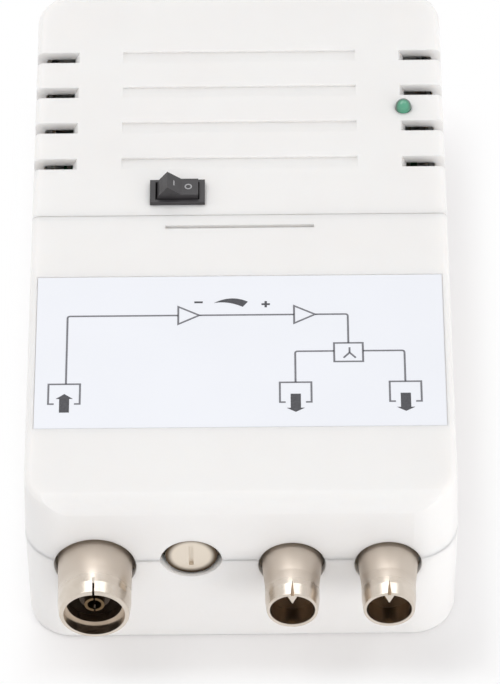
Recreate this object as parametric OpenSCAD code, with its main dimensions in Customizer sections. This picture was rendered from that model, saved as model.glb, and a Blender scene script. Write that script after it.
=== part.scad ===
// Mains-powered aerial signal amplifier: one coaxial input socket and two coaxial output plugs.
// X runs across the case, +Y towards the cord end and +Z from the flat back to the label face.
// The origin is the middle of the flat back.

/* [Case] */
// Width of the case at the parting line
case_w = 76; // [75:0.5:84]
// Length of the case at the parting line, without sockets and gland
case_l = 128; // [126:1:138]
// Height from the flat back to the label face
case_h = 36; // [35.5:0.5:42]
// Height of the parting line between rear shell and covers
parting_z = 21.2; // [20.8:0.1:22]
// Wall thickness of the rear shell and the covers
wall = 1.8; // [1.6:0.1:2.2]
// Thickness of the flat back
floor_t = 2; // [1.6:0.1:2.6]
// Plan radius of the upright corners
corner_r = 8; // [6:0.5:9]
// Draft of the cover walls in degrees
cover_draft = 1.5; // [0.5:0.25:2]
// Draft of the rear shell walls in degrees
shell_draft = 0.75; // [0.25:0.25:1.5]
// Rounding along the sides of the covers
side_round = 1.2; // [0.8:0.1:1.6]
// Rounding across both ends of the covers
end_round = 3.5; // [2:0.25:5]
// Rounding round the flat back
back_round = 0.75; // [0.5:0.25:3]
// Rounding in the inner corners of the mouldings
inner_round = 0.6; // [0.4:0.1:1]
// Distance of the cover seam from the socket end
seam_from_front = 69.2; // [67:0.2:71]
// Width of the cover seam
seam_gap = 0.2; // [0.15:0.05:0.5]
// Height of the locating lip above the parting line
lip_h = 1.6; // [1:0.1:2]
// Thickness of the locating lip
lip_t = 0.8; // [0.6:0.1:1]
// Depth of the root of the locating lip
lip_root = 3; // [2:0.25:4]

/* [Latch] */
// Length of the latch slot across the lower cover
latch_slot_l = 26.9; // [22:0.1:30]
// Width of the latch slot
latch_slot_w = 0.8; // [0.7:0.05:1.2]
// Distance of the latch slot from the seam
latch_setback = 2.85; // [2.5:0.05:4]
// Thickness of the latch tongue under the lower cover
latch_t = 1.2; // [1:0.1:1.6]
// Reach of the latch tongue under the lower cover
latch_lap = 4.4; // [4:0.1:6]
// Length of the latch tongue's root under the upper cover
latch_root = 2.2; // [1.6:0.1:2.3]
// Depth of the latch nose below the label face
latch_nose_drop = 0.9; // [0.6:0.1:1.2]

/* [Vents] */
// Distance of the first vent row from the cord end
vent_first = 18; // [16:0.5:20]
// Distance between vent rows
vent_pitch = 9.2; // [8:0.1:9.4]
// Number of vent rows
vent_rows = 4; // [2:1:4]
// Width of each vent slot
vent_w = 2.7; // [2:0.1:3.6]
// Length of each vent in from the side of the case
vent_inset = 8.3; // [5:0.1:9]
// Length by which the inner end of each vent slopes back over its depth
vent_slope = 3; // [1:0.1:3.5]
// Depth of each vent down the side wall
vent_drop = 6; // [4:0.5:8]
// Distance between a scooped groove and the vents beside it
groove_gap = 8.1; // [5:0.1:12]
// Width of each scooped groove
groove_w = 3; // [2:0.1:3.6]
// Depth of each scooped groove at its far wall
groove_d = 0.5; // [0.3:0.05:0.8]

/* [Label] */
// Margin beside the label
label_side = 1.8; // [1.6:0.1:6]
// Length of the label
label_l = 36; // [30:0.5:40]
// Thickness of the label
label_t = 0.2; // [0.1:0.05:0.25]
// Distance of the label from the socket end
label_from_front = 18.1; // [16:0.1:22]
// Depth of the moulded recess for the label
label_recess = 0.3; // [0.25:0.05:0.5]
// Gap round the label in its recess
label_gap = 0.15; // [0.1:0.05:0.4]

/* [Ports] */
// Distance of the socket axes below the parting line
port_drop = 1.4; // [1:0.1:2]
// Distance of the inner ports from the middle
inner_port_x = 8.8; // [8.4:0.1:9.2]
// Gap between the rim of the input socket and the side of the screening box
port_side_gap = 0.5; // [0.2:0.1:1.2]
// Gap round pieces that pass through the screening box, its lid and the boards
port_gap = 0.35; // [0.25:0.05:0.5]
// Gap between the collar of a socket or plug and its hole in the case
collar_gap = 0.7; // [0.4:0.05:0.9]
// Half width of the gain hole at the parting line
gain_port_half_w = 5.5; // [5:0.1:5.8]
// Rise of the gain hole into the lower cover
gain_port_rise = 5.2; // [4.6:0.1:5.4]
// Depth of the gain hole into the rear shell
gain_port_fall = 4.35; // [4:0.05:5]

/* [Input socket] */
// Diameter of the collar in the case hole
in_collar_d = 13; // [12.9:0.1:13.6]
// Outer diameter of the barrel
in_barrel_d = 12.8; // [12.4:0.1:13.2]
// Diameter of the wide mouth
in_mouth_d = 10.7; // [10.3:0.1:11]
// Depth of the wide mouth
in_mouth_depth = 2.4; // [1.5:0.1:4]
// Inner diameter of the barrel, sized to a 9.5 mm plug
in_bore_d = 9.7; // [9.6:0.02:9.8]
// Reach of the barrel in front of the case
in_reach = 10.85; // [9:0.05:13]
// Diameter of the barrel at its lip
in_nose_d = 12.3; // [11.9:0.1:12.4]
// Rounding of the barrel lip
in_lip_round = 0.35; // [0.25:0.05:0.4]
// Width of the slit in the barrel
in_slit_w = 0.4; // [0.3:0.1:1]
// Length of the slit in the barrel
in_slit_l = 3.2; // [2:0.1:6]
// Diameter of the spigot through the screening box
in_spigot_d = 11.2; // [10.8:0.1:11.6]
// Outer diameter of the centre contact
contact_d = 3.5; // [3.3:0.1:3.8]
// Bore of the centre contact, sized to a 2.4 mm pin
contact_bore_d = 2.44; // [2.42:0.01:2.5]
// Depth of the centre contact bore
contact_bore_l = 7; // [5:0.5:8]
// Depth of the centre contact below the barrel lip
contact_recess = 2.3; // [1.5:0.1:4]
// Width of the slots in the centre contact
contact_slot_w = 0.3; // [0.2:0.05:0.4]
// Length of the slots in the centre contact
contact_slot_l = 4; // [2:0.5:6]
// Outer diameter of the insulator sleeve round the contact
in_sleeve_d = 5.4; // [5:0.1:6]
// Depth of the sleeve below the contact mouth
in_sleeve_setback = 1.5; // [0.5:0.1:3]

/* [Output plugs] */
// Diameter of the collar in the case hole
out_collar_d = 10.4; // [10.2:0.1:11]
// Outer diameter of the plug barrel
out_barrel_d = 9.5; // [9.4:0.02:9.6]
// Inner diameter of the plug barrel
out_bore_d = 7.7; // [7.5:0.05:8.3]
// Diameter of the plug barrel at its lip
out_nose_d = 9; // [8.8:0.05:9.2]
// Length over which the barrels narrow to their lips
nose_l = 2.4; // [1.5:0.1:3]
// Reach of the plug in front of the case
out_reach = 10.4; // [9:0.05:13]
// Length of the flare from collar to barrel
flare_l = 4.4; // [2:0.1:5]
// Reach of the collars in front of the case
collar_reach = 0.3; // [0.2:0.05:0.8]
// Diameter of the spigot through the screening box
out_spigot_d = 8.8; // [8.6:0.05:9]
// Diameter of the plug pin
pin_d = 2.4; // [2.36:0.02:2.44]
// Depth of the pin tip below the plug lip
pin_recess = 2.5; // [1:0.1:4]
// Width of the folded crease in the plug mouth
crease_w = 2; // [1.6:0.1:3]
// Depth of the folded crease below the bore
crease_d = 2.2; // [1.2:0.1:2.4]
// Length of the folded crease
crease_l = 3; // [2.5:0.25:6]
// Width of the groove over the crease at the lip
crease_groove_w = 0.8; // [0.6:0.1:1.4]
// Depth of the groove over the crease at the lip
crease_groove_d = 0.8; // [0.6:0.1:1.2]
// Height of the swaged rims inside the screening box
rim_t = 0.5; // [0.3:0.1:0.8]
// Overhang of the swaged rims
rim_w = 0.7; // [0.4:0.1:1]
// Front of the insulators, measured from the screening box
insulator_l = 4.4; // [3.5:0.1:5]
// Diameter of the solder tails
tail_d = 1.2; // [1:0.1:1.4]
// Length of the solder tails over the board
tail_l = 5; // [4:0.5:6]

/* [Gain adjuster] */
// Diameter of the adjuster disc
gain_disc_d = 9; // [8.6:0.1:9.8]
// Thickness of the adjuster disc
gain_disc_t = 1.2; // [0.9:0.1:1.3]
// Depth of the adjuster disc behind the case front
gain_disc_setback = 1.15; // [1.1:0.05:1.4]
// Thickness of the case lip in front of the adjuster disc
gain_lip_t = 0.8; // [0.6:0.05:0.9]
// Gap between the rim of the adjuster disc and its pocket in the case
gain_gap = 0.33; // [0.28:0.05:0.48]
// Width of the screwdriver slot
gain_slot_w = 0.8; // [0.6:0.1:1.2]
// Length of the screwdriver slot
gain_slot_l = 5; // [3:0.2:7]
// Depth of the screwdriver slot
gain_slot_d = 0.6; // [0.4:0.05:0.7]
// Diameter of the adjuster shaft
gain_shaft_d = 3; // [2.6:0.1:3.4]
// Length of the shaft inside the adjuster body
gain_shaft_in = 3; // [2:0.25:4]
// Width of the adjuster body
gain_body_w = 9.6; // [9:0.1:10.2]
// Depth of the adjuster body
gain_body_l = 6.5; // [6:0.25:7]
// Height of the adjuster body
gain_body_h = 10; // [9:0.25:11]

/* [Switch] */
// Distance of the switch from the middle
switch_x = -11.3; // [-13:0.1:-10]
// Distance of the switch from the seam
switch_from_seam = 5.4; // [4.8:0.1:6]
// Length of the switch bezel
bezel_l = 10; // [9.6:0.1:11]
// Width of the switch bezel
bezel_w = 5.6; // [5.5:0.1:7]
// Height of the switch bezel over the cover
bezel_h = 0.8; // [0.5:0.1:1.2]
// Length of the rocker opening
rocker_open_l = 8; // [7.9:0.05:8.2]
// Width of the rocker opening
rocker_open_w = 4.4; // [4.3:0.05:4.6]
// Thickness of the switch body walls along the rocker
switch_wall = 0.5; // [0.4:0.05:0.6]
// Thickness of the switch body walls beside the rocker
switch_cheek = 0.4; // [0.35:0.05:0.5]
// Depth of the switch body below the cover face
switch_depth = 9.2; // [8.5:0.1:10]
// Thickness of the switch body base
switch_base = 0.8; // [0.6:0.1:1.2]
// Depth of the rocker pivot below the cover face
pivot_drop = 0.2; // [0:0.05:0.4]
// Diameter of the rocker pivot
pivot_d = 1.2; // [1:0.1:1.4]
// Reach of the rocker pivot into the switch body walls
pivot_in = 0.2; // [0.15:0.05:0.25]
// Gap between the rocker and the sides of its opening
rocker_side = 0.2; // [0.15:0.05:0.3]
// Gap between the rocker tips and the ends of its opening
rocker_gap = 0.15; // [0.1:0.05:0.3]
// Thickness of each rocker arm at its end
rocker_end = 1.5; // [1:0.1:1.6]
// Height of the rocker valley above its pivot
rocker_valley = 2.2; // [2:0.1:2.3]
// Depth of the rocker skirt below its pivot
rocker_skirt = 2.2; // [1.6:0.1:2.6]
// Tilt of the rocker to either side in degrees
rocker_tilt = 18.5; // [14:0.5:18.5]
// Width of the snap wedges on the switch body
snap_w = 2; // [1.5:0.25:3]
// Reach of the snap wedges
snap_reach = 0.5; // [0.3:0.05:0.6]
// Height of the snap wedges
snap_h = 2; // [1.5:0.1:3]
// Distance between the switch terminals
terminal_pitch = 4.6; // [4:0.1:5]
// Thickness of a switch terminal
terminal_t = 0.6; // [0.4:0.05:0.8]
// Width of a switch terminal
terminal_w = 2.2; // [1.6:0.1:2.4]
// Length of a switch terminal below the switch
terminal_l = 4.8; // [3.5:0.1:6]
// Height of a switch terminal inside the switch
terminal_in = 0.6; // [0.4:0.1:1]
// Diameter of an insulated lead
lead_d = 1.2; // [0.9:0.1:1.6]

/* [Indicator lamp] */
// Distance of the lamp from the side of the case
lamp_inset = 7.7; // [6.5:0.1:9]
// Diameter of the lamp
lamp_d = 3; // [2.8:0.1:3.2]
// Reach of the lamp over the cover face
lamp_reach = 1.8; // [0.8:0.1:2.2]
// Diameter of the lamp flange
lamp_flange_d = 3.8; // [3.6:0.1:4.2]
// Thickness of the lamp flange
lamp_flange_t = 1; // [0.8:0.1:1.4]
// Thickness of a lamp lead
lamp_lead_t = 0.5; // [0.4:0.05:0.6]
// Distance between the lamp leads
lamp_lead_pitch = 2.54; // [2:0.02:2.6]

/* [Fixings] */
// Distance of the case screws from the side of the case
screw_inset = 6.8; // [6.2:0.1:7.4]
// Distance of the front case screws from the screening box
screw_from_box = 10; // [6:0.1:11]
// Distance of the rear case screws from the cord end
screw_from_back = 9; // [8:0.1:9.4]
// Diameter of the screw columns in the rear shell
column_d = 8.4; // [8:0.1:8.6]
// Diameter of the screw head recess
head_recess_d = 6; // [5.8:0.1:6.4]
// Depth of the screw head recess from the flat back
head_recess_h = 12; // [10:0.5:14]
// Diameter of the screw clearance hole
screw_clear_d = 3.2; // [2.9:0.1:3.4]
// Diameter of the screw bosses in the covers
boss_d = 6.4; // [5.8:0.1:6.8]
// Depth of screw engagement in a cover boss
screw_grip = 8.8; // [6:0.2:10]
// Diameter of the case screws
screw_d = 2.5; // [2.2:0.1:2.6]
// Diameter of the case screw heads
screw_head_d = 5.4; // [4.8:0.1:5.6]
// Height of the case screw heads
screw_head_h = 2; // [1.5:0.1:2.4]
// Distance of each keyhole from the middle of the case
keyhole_y = 42; // [40:0.5:44]
// Diameter of the keyhole entry
keyhole_d = 8.4; // [8:0.1:9]
// Width of the keyhole slot
keyhole_slot_w = 4.4; // [4:0.1:4.8]
// Travel of the hanging screw along the keyhole slot
keyhole_travel = 7; // [6:0.25:8]
// Width of the pocket behind the keyhole
keyhole_pocket_w = 9.2; // [9.1:0.1:10]
// Height of the pocket behind the keyhole
keyhole_pocket_h = 2.6; // [2:0.1:3]
// Wall thickness round the keyhole pocket
keyhole_wall = 1.2; // [1:0.1:1.6]
// Diameter of the cord gland bore
gland_bore_d = 6.2; // [5.6:0.1:6.6]
// Diameter of the gland where it passes the wall
gland_neck_d = 8.8; // [8.4:0.1:9.2]
// Diameter of the gland flanges
gland_flange_d = 11.6; // [11:0.1:12]
// Thickness of the outer gland flange
gland_out_t = 2.2; // [1.5:0.1:3]
// Thickness of the inner gland flange
gland_in_t = 1.8; // [1.4:0.1:2.4]
// Gap between the gland flanges and the drafted wall
gland_seat = 0.3; // [0.25:0.05:0.5]
// Rounding of the outer gland flange
gland_round = 0.8; // [0.4:0.1:1.2]

/* [Screening box] */
// Depth of the screening box behind the case front
box_setback = 4; // [3.9:0.05:4.4]
// Distance of the screening box from the sides of the case
box_side = 5; // [4.5:0.1:6]
// Length of the screening box
box_l = 38; // [36:0.5:40]
// Height of the screening box
box_h = 20; // [19:0.25:20.5]
// Sheet thickness of the screening box
box_t = 0.6; // [0.5:0.05:0.7]
// Sheet thickness of its lids
lid_t = 0.5; // [0.4:0.05:0.6]
// Height of the lid skirts
lid_skirt = 3; // [2:0.25:4]
// Thickness of the circuit boards
pcb_t = 1.6; // [1.2:0.1:2]
// Distance of the ends of the support ribs from the sides of the box
rib_end = 4; // [2:0.5:10]
// Thickness of the support ribs
rib_t = 1.6; // [1.2:0.1:2]
// Distance of the support ribs from the ends of the box
rib_inset = 4.5; // [3:0.25:6]
// Diameter of a transistor
transistor_d = 4.8; // [4.4:0.1:5.2]
// Height of a transistor
transistor_h = 4.6; // [4:0.1:5.2]
// Length of the splitter core
core_l = 13; // [11:0.25:14]
// Width of the splitter core
core_w = 7.5; // [7:0.1:8]
// Height of the splitter core
core_h = 6.4; // [6:0.1:7]
// Diameter of the splitter core bores
core_bore_d = 3.4; // [3:0.1:3.6]
// Diameter of a ceramic capacitor
disc_d = 5; // [4.4:0.1:5.6]
// Thickness of a ceramic capacitor
disc_t = 2; // [1.6:0.1:2.4]
// Length of a resistor
resistor_l = 6.3; // [5.6:0.1:7]
// Diameter of a resistor
resistor_d = 2.3; // [2:0.1:2.6]
// Diameter of bare component leads
wire_d = 0.6; // [0.5:0.05:0.7]
// Stand-off of components over a board
standoff = 0.8; // [0.6:0.1:1.2]
// Distance of the transistors from the front of the box
transistor_y = 19; // [16:0.5:20]
// Place of the first transistor across the box
transistor_1_x = -20; // [-22:0.5:-16]
// Place of the second transistor across the box
transistor_2_x = 1; // [-2:0.5:4]
// Place of the splitter core across the box
core_x = 17; // [14:0.5:18]
// Distance of the splitter core from the front of the box
core_y = 16; // [13:0.5:18]
// Places of the ceramic capacitors across the box
disc_xs = [-26, -11, 7, 25]; // [-26:0.5:26]
// Distances of the ceramic capacitors from the front of the box
disc_ys = [16, 25, 26, 27]; // [14:0.5:30]
// Places of the resistors across the box
resistor_xs = [-20, -4, 12, -22]; // [-24:0.5:24]
// Distances of the resistors from the front of the box
resistor_ys = [31, 12, 32, 25.5]; // [10:0.5:34]

/* [Supply board] */
// Height of the supply board over the flat back
psu_z = 8; // [7.8:0.1:8.6]
// Distance of the supply board from the sides of the case
psu_side = 4.5; // [4:0.1:6]
// Gap between the supply board and the rear screw columns
psu_back_gap = 0.8; // [0.4:0.1:2]
// Gap between the supply board and the front screw columns
psu_front_gap = 2.8; // [0.4:0.1:4]
// Distance of the board screws from the board sides
post_side = 4; // [3.5:0.1:4.5]
// Distance of the board screws from the board ends
post_inset = 4; // [3.5:0.1:4.5]
// Diameter of the board posts
post_d = 6; // [5:0.1:6.4]
// Diameter of the board screws
board_screw_d = 2.2; // [2:0.1:2.5]
// Length of the board screws below the board
board_screw_l = 5; // [4:0.1:5.5]
// Diameter of the board screw heads
board_head_d = 4.4; // [4:0.1:4.8]
// Height of the board screw heads
board_head_h = 1.6; // [1.2:0.1:2]
// Length of the transformer core
iron_l = 30; // [28:0.25:31]
// Stack thickness of the transformer core
iron_t = 12.5; // [11:0.25:13]
// Height of the transformer core
iron_h = 20; // [18:0.25:20.5]
// Width of the transformer centre leg
iron_leg = 10; // [9:0.25:10.5]
// Thickness of the transformer yokes
iron_yoke = 5; // [4.5:0.25:5.25]
// Length of the bobbin flanges beyond the core
bobbin_reach = 5.5; // [4.5:0.1:6]
// Thickness of the bobbin
bobbin_t = 0.8; // [0.6:0.05:0.9]
// Gap between the bobbin and the core
bobbin_gap = 0.2; // [0.1:0.05:0.3]
// Thickness of the transformer winding over the bobbin tube
winding_t = 2.9; // [2:0.1:2.95]
// Thickness of a transformer pin
trafo_pin_t = 0.8; // [0.6:0.1:1]
// Distance between the transformer pins
trafo_pin_pitch = 5; // [4:0.1:5.4]
// Diameter of the smoothing capacitor
smooth_d = 10; // [9:0.25:10.5]
// Height of the smoothing capacitor
smooth_h = 16; // [14:0.5:18]
// Diameter of the output capacitor
output_cap_d = 8; // [7:0.25:8.5]
// Height of the output capacitor
output_cap_h = 12; // [10:0.5:14]
// Depth of the sleeve rim on the capacitor tops
cap_dish = 0.4; // [0.2:0.05:0.6]
// Length of a rectifier diode
diode_l = 5.2; // [4.6:0.1:5.6]
// Diameter of a rectifier diode
diode_d = 2.7; // [2.4:0.1:3]
// Distance between the leads of a diode
diode_span = 9; // [8.5:0.1:10]
// Width of the voltage regulator
reg_w = 10; // [9.6:0.1:10.4]
// Thickness of the voltage regulator body
reg_t = 4.4; // [4:0.1:4.8]
// Height of the voltage regulator body
reg_h = 9; // [8.5:0.1:9.5]
// Height of the voltage regulator tab over its body
reg_tab_h = 6.4; // [6:0.1:7]
// Thickness of the voltage regulator tab
reg_tab_t = 1.2; // [1:0.1:1.4]
// Height of the voltage regulator over the board
reg_lift = 3; // [2:0.25:4]
// Diameter of the regulator tab hole
reg_hole_d = 3.6; // [3.2:0.1:3.8]
// Length of the fuse link
fuse_l = 20; // [18:0.5:20.5]
// Diameter of the fuse link
fuse_d = 5; // [4.6:0.1:5.2]
// Height of the fuse axis over the board
fuse_z = 4.5; // [4:0.1:5]
// Width of a fuse clip
clip_w = 4; // [3:0.1:4.5]
// Sheet thickness of a fuse clip
clip_t = 0.4; // [0.3:0.05:0.6]
// Width of the terminal block
block_w = 10; // [9:0.1:10.5]
// Length of the terminal block
block_l = 8; // [7:0.1:8.5]
// Height of the terminal block
block_h = 10; // [9:0.1:11]
// Diameter of the terminal block wire holes
block_wire_d = 2.6; // [2.2:0.1:3]
// Diameter of the terminal block screw holes
block_screw_d = 3.2; // [2.8:0.1:3.6]
// Distance between the feed leads
feed_pitch = 4; // [3:0.1:5]
// Height of the feed leads over the board
feed_z = 4; // [3:0.1:5]
// Place of the transformer across the board
trafo_x = 9; // [8:0.25:10]
// Distance of the transformer from the cord end of the board
trafo_y = 15; // [14.5:0.25:16]
// Place of both capacitors across the board
capacitor_x = -24; // [-25:0.25:-23]
// Distance of the smoothing capacitor from the cord end of the board
smooth_y = 17; // [15:0.25:18]
// Distance of the output capacitor from the cord end of the board
output_cap_y = 30; // [28:0.25:32]
// Place of the diodes across the board
diode_x = -12.5; // [-13:0.25:-12]
// Distance of the first diode from the cord end of the board
diode_first = 14; // [13.5:0.25:15]
// Distance between the diodes
diode_pitch = 3.4; // [3.2:0.1:3.8]
// Place of the voltage regulator across the board
reg_x = 12; // [9:0.5:16]
// Distance of the voltage regulator from the front of the board
reg_y = 5; // [4:0.25:6]
// Place of the fuse across the board
fuse_x = 15; // [14:0.25:16]
// Distance of the fuse from the front of the board
fuse_y = 15; // [11:0.25:16]
// Place of the terminal block across the board
block_x = -14; // [-16:0.25:-12]
// Distance of the terminal block from the cord end of the board
block_y = 7; // [5:0.25:7.5]

/* [Fits] */
// Radial gap of pieces set in holes
fit_gap = 0.05; // [0.03:0.01:0.08]
// Gap between moulded faces
seat_gap = 0.1; // [0.05:0.05:0.2]
// Gap between the locating lip and the covers
lip_gap = 0.15; // [0.1:0.05:0.25]
// Overlap of ribs and bosses into the wall they grow from
root = 0.3; // [0.2:0.1:0.5]

/* [Hidden] */
$fn = 72;
// Extra length of cutters past a face
over = 1;
// Share by which an edge rounding is enlarged, so that it crosses the faces beside it
round_bite = 0.01;
front_y = -case_l / 2;
back_y = case_l / 2;
cover_h = case_h - parting_z;
ceiling_z = case_h - wall;
seam_y = front_y + seam_from_front;
port_z = parting_z - port_drop;
gain_x = -inner_port_x;
box_w = case_w - 2 * box_side;
outer_port_x = box_w / 2 - box_t - port_side_gap - rim_w - in_spigot_d / 2;
in_hole_d = in_collar_d + 2 * collar_gap;
out_hole_d = out_collar_d + 2 * collar_gap;
gain_up_r = (pow(gain_port_half_w, 2) + pow(gain_port_rise, 2)) / (2 * gain_port_rise);
gain_down_r = (pow(gain_port_half_w, 2) + pow(gain_port_fall, 2)) / (2 * gain_port_fall);
port_cut_l = wall + lip_gap + lip_t + 2 * over;
gland_neck_l = wall + 2 * gland_seat;
box_y = front_y + box_setback;
box_z = port_z - box_h / 2;
box_top = box_z + box_h;
rf_top = port_z - tail_d / 2 - fit_gap;
rib_ys = [box_y + rib_inset, box_y + box_l - rib_inset];
rib_l = box_w - 2 * rib_end;
screw_x = case_w / 2 - screw_inset;
screw_ys = [box_y + box_l + screw_from_box, back_y - screw_from_back];
psu_w = case_w - 2 * psu_side;
psu_y = screw_ys[1] - column_d / 2 - psu_back_gap;
psu_front = screw_ys[0] + column_d / 2 + psu_front_gap;
psu_l = psu_y - psu_front;
psu_top = psu_z + pcb_t;
post_x = psu_w / 2 - post_side;
post_ys = [psu_y - post_inset, psu_front + post_inset];
screw_top = parting_z + screw_grip;
vent_ys = [for (i = [0 : vent_rows - 1]) back_y - vent_first - i * vent_pitch];
vent_inner_x = case_w / 2 - vent_inset;
groove_l = 2 * (vent_inner_x - groove_gap);
lamp_x = case_w / 2 - lamp_inset;
lamp_y = back_y - vent_first - 1.5 * vent_pitch;
lamp_base = ceiling_z - fit_gap - lamp_flange_t;
switch_y = seam_y + switch_from_seam;
switch_body_l = rocker_open_l + 2 * switch_wall;
switch_body_w = rocker_open_w + 2 * switch_cheek;
switch_bottom = case_h - switch_depth;
terminal_z = switch_bottom - terminal_l;
pivot_z = case_h - pivot_drop;
pivot_l = rocker_open_w + 2 * pivot_in;
rocker_w = rocker_open_w - 2 * rocker_side;
tip_r = rocker_open_l / 2 - rocker_gap;
tip_drop = rocker_valley * cos(rocker_tilt) - rocker_end;
rocker_arm = sqrt(pow(tip_r, 2) - pow(tip_drop, 2)) - rocker_valley * sin(rocker_tilt);
arm_dx = rocker_arm * cos(rocker_tilt);
arm_dz = rocker_arm * sin(rocker_tilt);
end_dx = rocker_end * sin(rocker_tilt);
end_dz = rocker_end * cos(rocker_tilt);
tip_z = rocker_valley + arm_dz - end_dz;
label_w = case_w - 2 * label_side;
label_y = front_y + label_from_front;
label_z = case_h - label_recess;
in_mouth = box_setback + in_reach;
out_mouth = box_setback + out_reach;
spigot_back = -box_t - rim_t;
leg_tube = iron_leg + 2 * bobbin_gap;
leg_tube_t = iron_t + 2 * bobbin_gap;
window_h = iron_h - 2 * iron_yoke;
bobbin_h = window_h - 2 * bobbin_gap;
winding_h = bobbin_h - 2 * bobbin_t;
trafo_z = psu_top + standoff;
flange_z = trafo_z + iron_yoke + bobbin_gap;

// Length kept to whole micrometres, so that sections drawn at different places meet exactly
function whole(v) = round(v * 1000) / 1000;

// Distance from the foot of a drafted wall to the centre of its edge rounding
function round_inset(h, draft, fillet) = whole((fillet + (h - fillet) * sin(draft)) / cos(draft));

// Region outside a rounded edge, drawn from the centre of the rounding
module edge_waste(fillet) {
    difference() {
        square(fillet + over);
        circle(fillet * (1 + round_bite));
    }
}

// Half of a drafted wall section with a rounded far edge, measured from the axis
module half_profile(reach, h, draft, fillet) {
    difference() {
        polygon([[0, 0], [reach, 0], [reach - whole(h * tan(draft)), h], [0, h]]);
        translate([reach - round_inset(h, draft, fillet), h - fillet])
            edge_waste(fillet);
    }
}

// Whole drafted section with both far edges rounded
module full_profile(reach, h, draft, fillet) {
    top = reach - whole(h * tan(draft));
    difference() {
        polygon([[-reach, 0], [reach, 0], [top, h], [-top, h]]);
        for (s = [0, 1])
            mirror([s, 0])
                translate([reach - round_inset(h, draft, fillet), h - fillet])
                    edge_waste(fillet);
    }
}

// Profile in Y and Z drawn out along X
module across_x(w) {
    rotate([90, 0, 90])
        linear_extrude(w, center = true)
            children();
}

// Profile in X and Z drawn out along Y
module along_y(l) {
    rotate([90, 0, 0])
        linear_extrude(l, center = true)
            children();
}

// Drafted block with upright rounded corners and a rounded far face
module rounded_form(w, l, h, corner, draft, fillet) {
    cx = w / 2 - corner;
    cy = l / 2 - corner;
    across_x(2 * cx)
        full_profile(l / 2, h, draft, fillet);
    along_y(2 * cy)
        full_profile(w / 2, h, draft, fillet);
    for (turn = [[cx, cy, 0], [-cx, cy, 90], [-cx, -cy, 180], [cx, -cy, 270]])
        translate([turn[0], turn[1], 0])
            rotate([0, 0, turn[2]])
                rotate_extrude(angle = 90)
                    half_profile(corner, h, draft, fillet);
}

// Drafted hollow that runs past its open side
module hollow_form(h, draft) {
    grow = whole(over * tan(draft));
    translate([0, 0, -over])
        rounded_form(case_w - 2 * wall + 2 * grow, case_l - 2 * wall + 2 * grow, h + over,
            corner_r - wall + grow, draft, inner_round);
}

module rounded_plate(w, l, corner) {
    square([w - 2 * corner, l], center = true);
    square([w, l - 2 * corner], center = true);
    for (sx = [-1, 1], sy = [-1, 1])
        translate([sx * (w / 2 - corner), sy * (l / 2 - corner)])
            circle(corner);
}

module round_port(x, d) {
    translate([x, front_y, port_z])
        rotate([-90, 0, 0])
            cylinder(d = d, h = 2 * port_cut_l, center = true);
}

// Hole for a blade, with a round pocket behind its lip in which the adjuster disc turns
module gain_port() {
    translate([gain_x, front_y, parting_z])
        along_y(2 * port_cut_l)
            intersection() {
                translate([0, gain_port_rise - gain_up_r])
                    circle(gain_up_r);
                translate([0, gain_down_r - gain_port_fall])
                    circle(gain_down_r);
            }
    translate([gain_x, front_y + gain_lip_t, parting_z])
        rotate([-90, 0, 0])
            cylinder(d = gain_disc_d + 2 * gain_gap, h = port_cut_l);
}

module gland_hole(d, l) {
    translate([0, back_y, parting_z])
        rotate([90, 0, 0])
            cylinder(d = d, h = 2 * l, center = true);
}

module port_cuts() {
    round_port(-outer_port_x, in_hole_d);
    round_port(inner_port_x, out_hole_d);
    round_port(outer_port_x, out_hole_d);
    gain_port();
    gland_hole(gland_neck_d + 2 * fit_gap, port_cut_l);
}

module locating_lip() {
    inside_w = case_w - 2 * wall;
    inside_l = case_l - 2 * wall;
    inset = lip_gap + lip_t;
    difference() {
        union() {
            translate([0, 0, parting_z - lip_root])
                linear_extrude(lip_root)
                    rounded_plate(inside_w + 2 * root, inside_l + 2 * root, corner_r - wall + root);
            translate([0, 0, parting_z - lip_root])
                linear_extrude(lip_root + lip_h)
                    rounded_plate(inside_w - 2 * lip_gap, inside_l - 2 * lip_gap, corner_r - wall - lip_gap);
        }
        translate([0, 0, parting_z - lip_root - over])
            linear_extrude(lip_root + lip_h + 2 * over)
                rounded_plate(inside_w - 2 * inset, inside_l - 2 * inset, corner_r - wall - inset);
        gland_hole(gland_flange_d + 2 * seat_gap, wall + gland_in_t + 2 * over);
        translate([gain_x, front_y, parting_z])
            rotate([90, 0, 0])
                cylinder(d = gain_disc_d + 2 * port_gap, h = 2 * port_cut_l, center = true);
    }
}

module keyhole_slot(w, h) {
    linear_extrude(h) {
        circle(d = w);
        translate([0, keyhole_travel])
            circle(d = w);
        translate([-w / 2, 0])
            square([w, keyhole_travel]);
    }
}

module shell_posts() {
    for (x = [-screw_x, screw_x], y = screw_ys)
        translate([x, y, floor_t - root])
            cylinder(d = column_d, h = parting_z - floor_t + root);
    for (x = [-post_x, post_x], y = post_ys)
        translate([x, y, floor_t - root])
            cylinder(d = post_d, h = psu_z - floor_t + root);
    for (y = rib_ys)
        translate([-rib_l / 2, y - rib_t / 2, floor_t - root])
            cube([rib_l, rib_t, box_z - lid_t - floor_t + root]);
    for (y = [-keyhole_y, keyhole_y])
        translate([0, y, floor_t - root])
            keyhole_slot(keyhole_pocket_w + 2 * keyhole_wall, keyhole_pocket_h + keyhole_wall + root);
}

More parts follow.
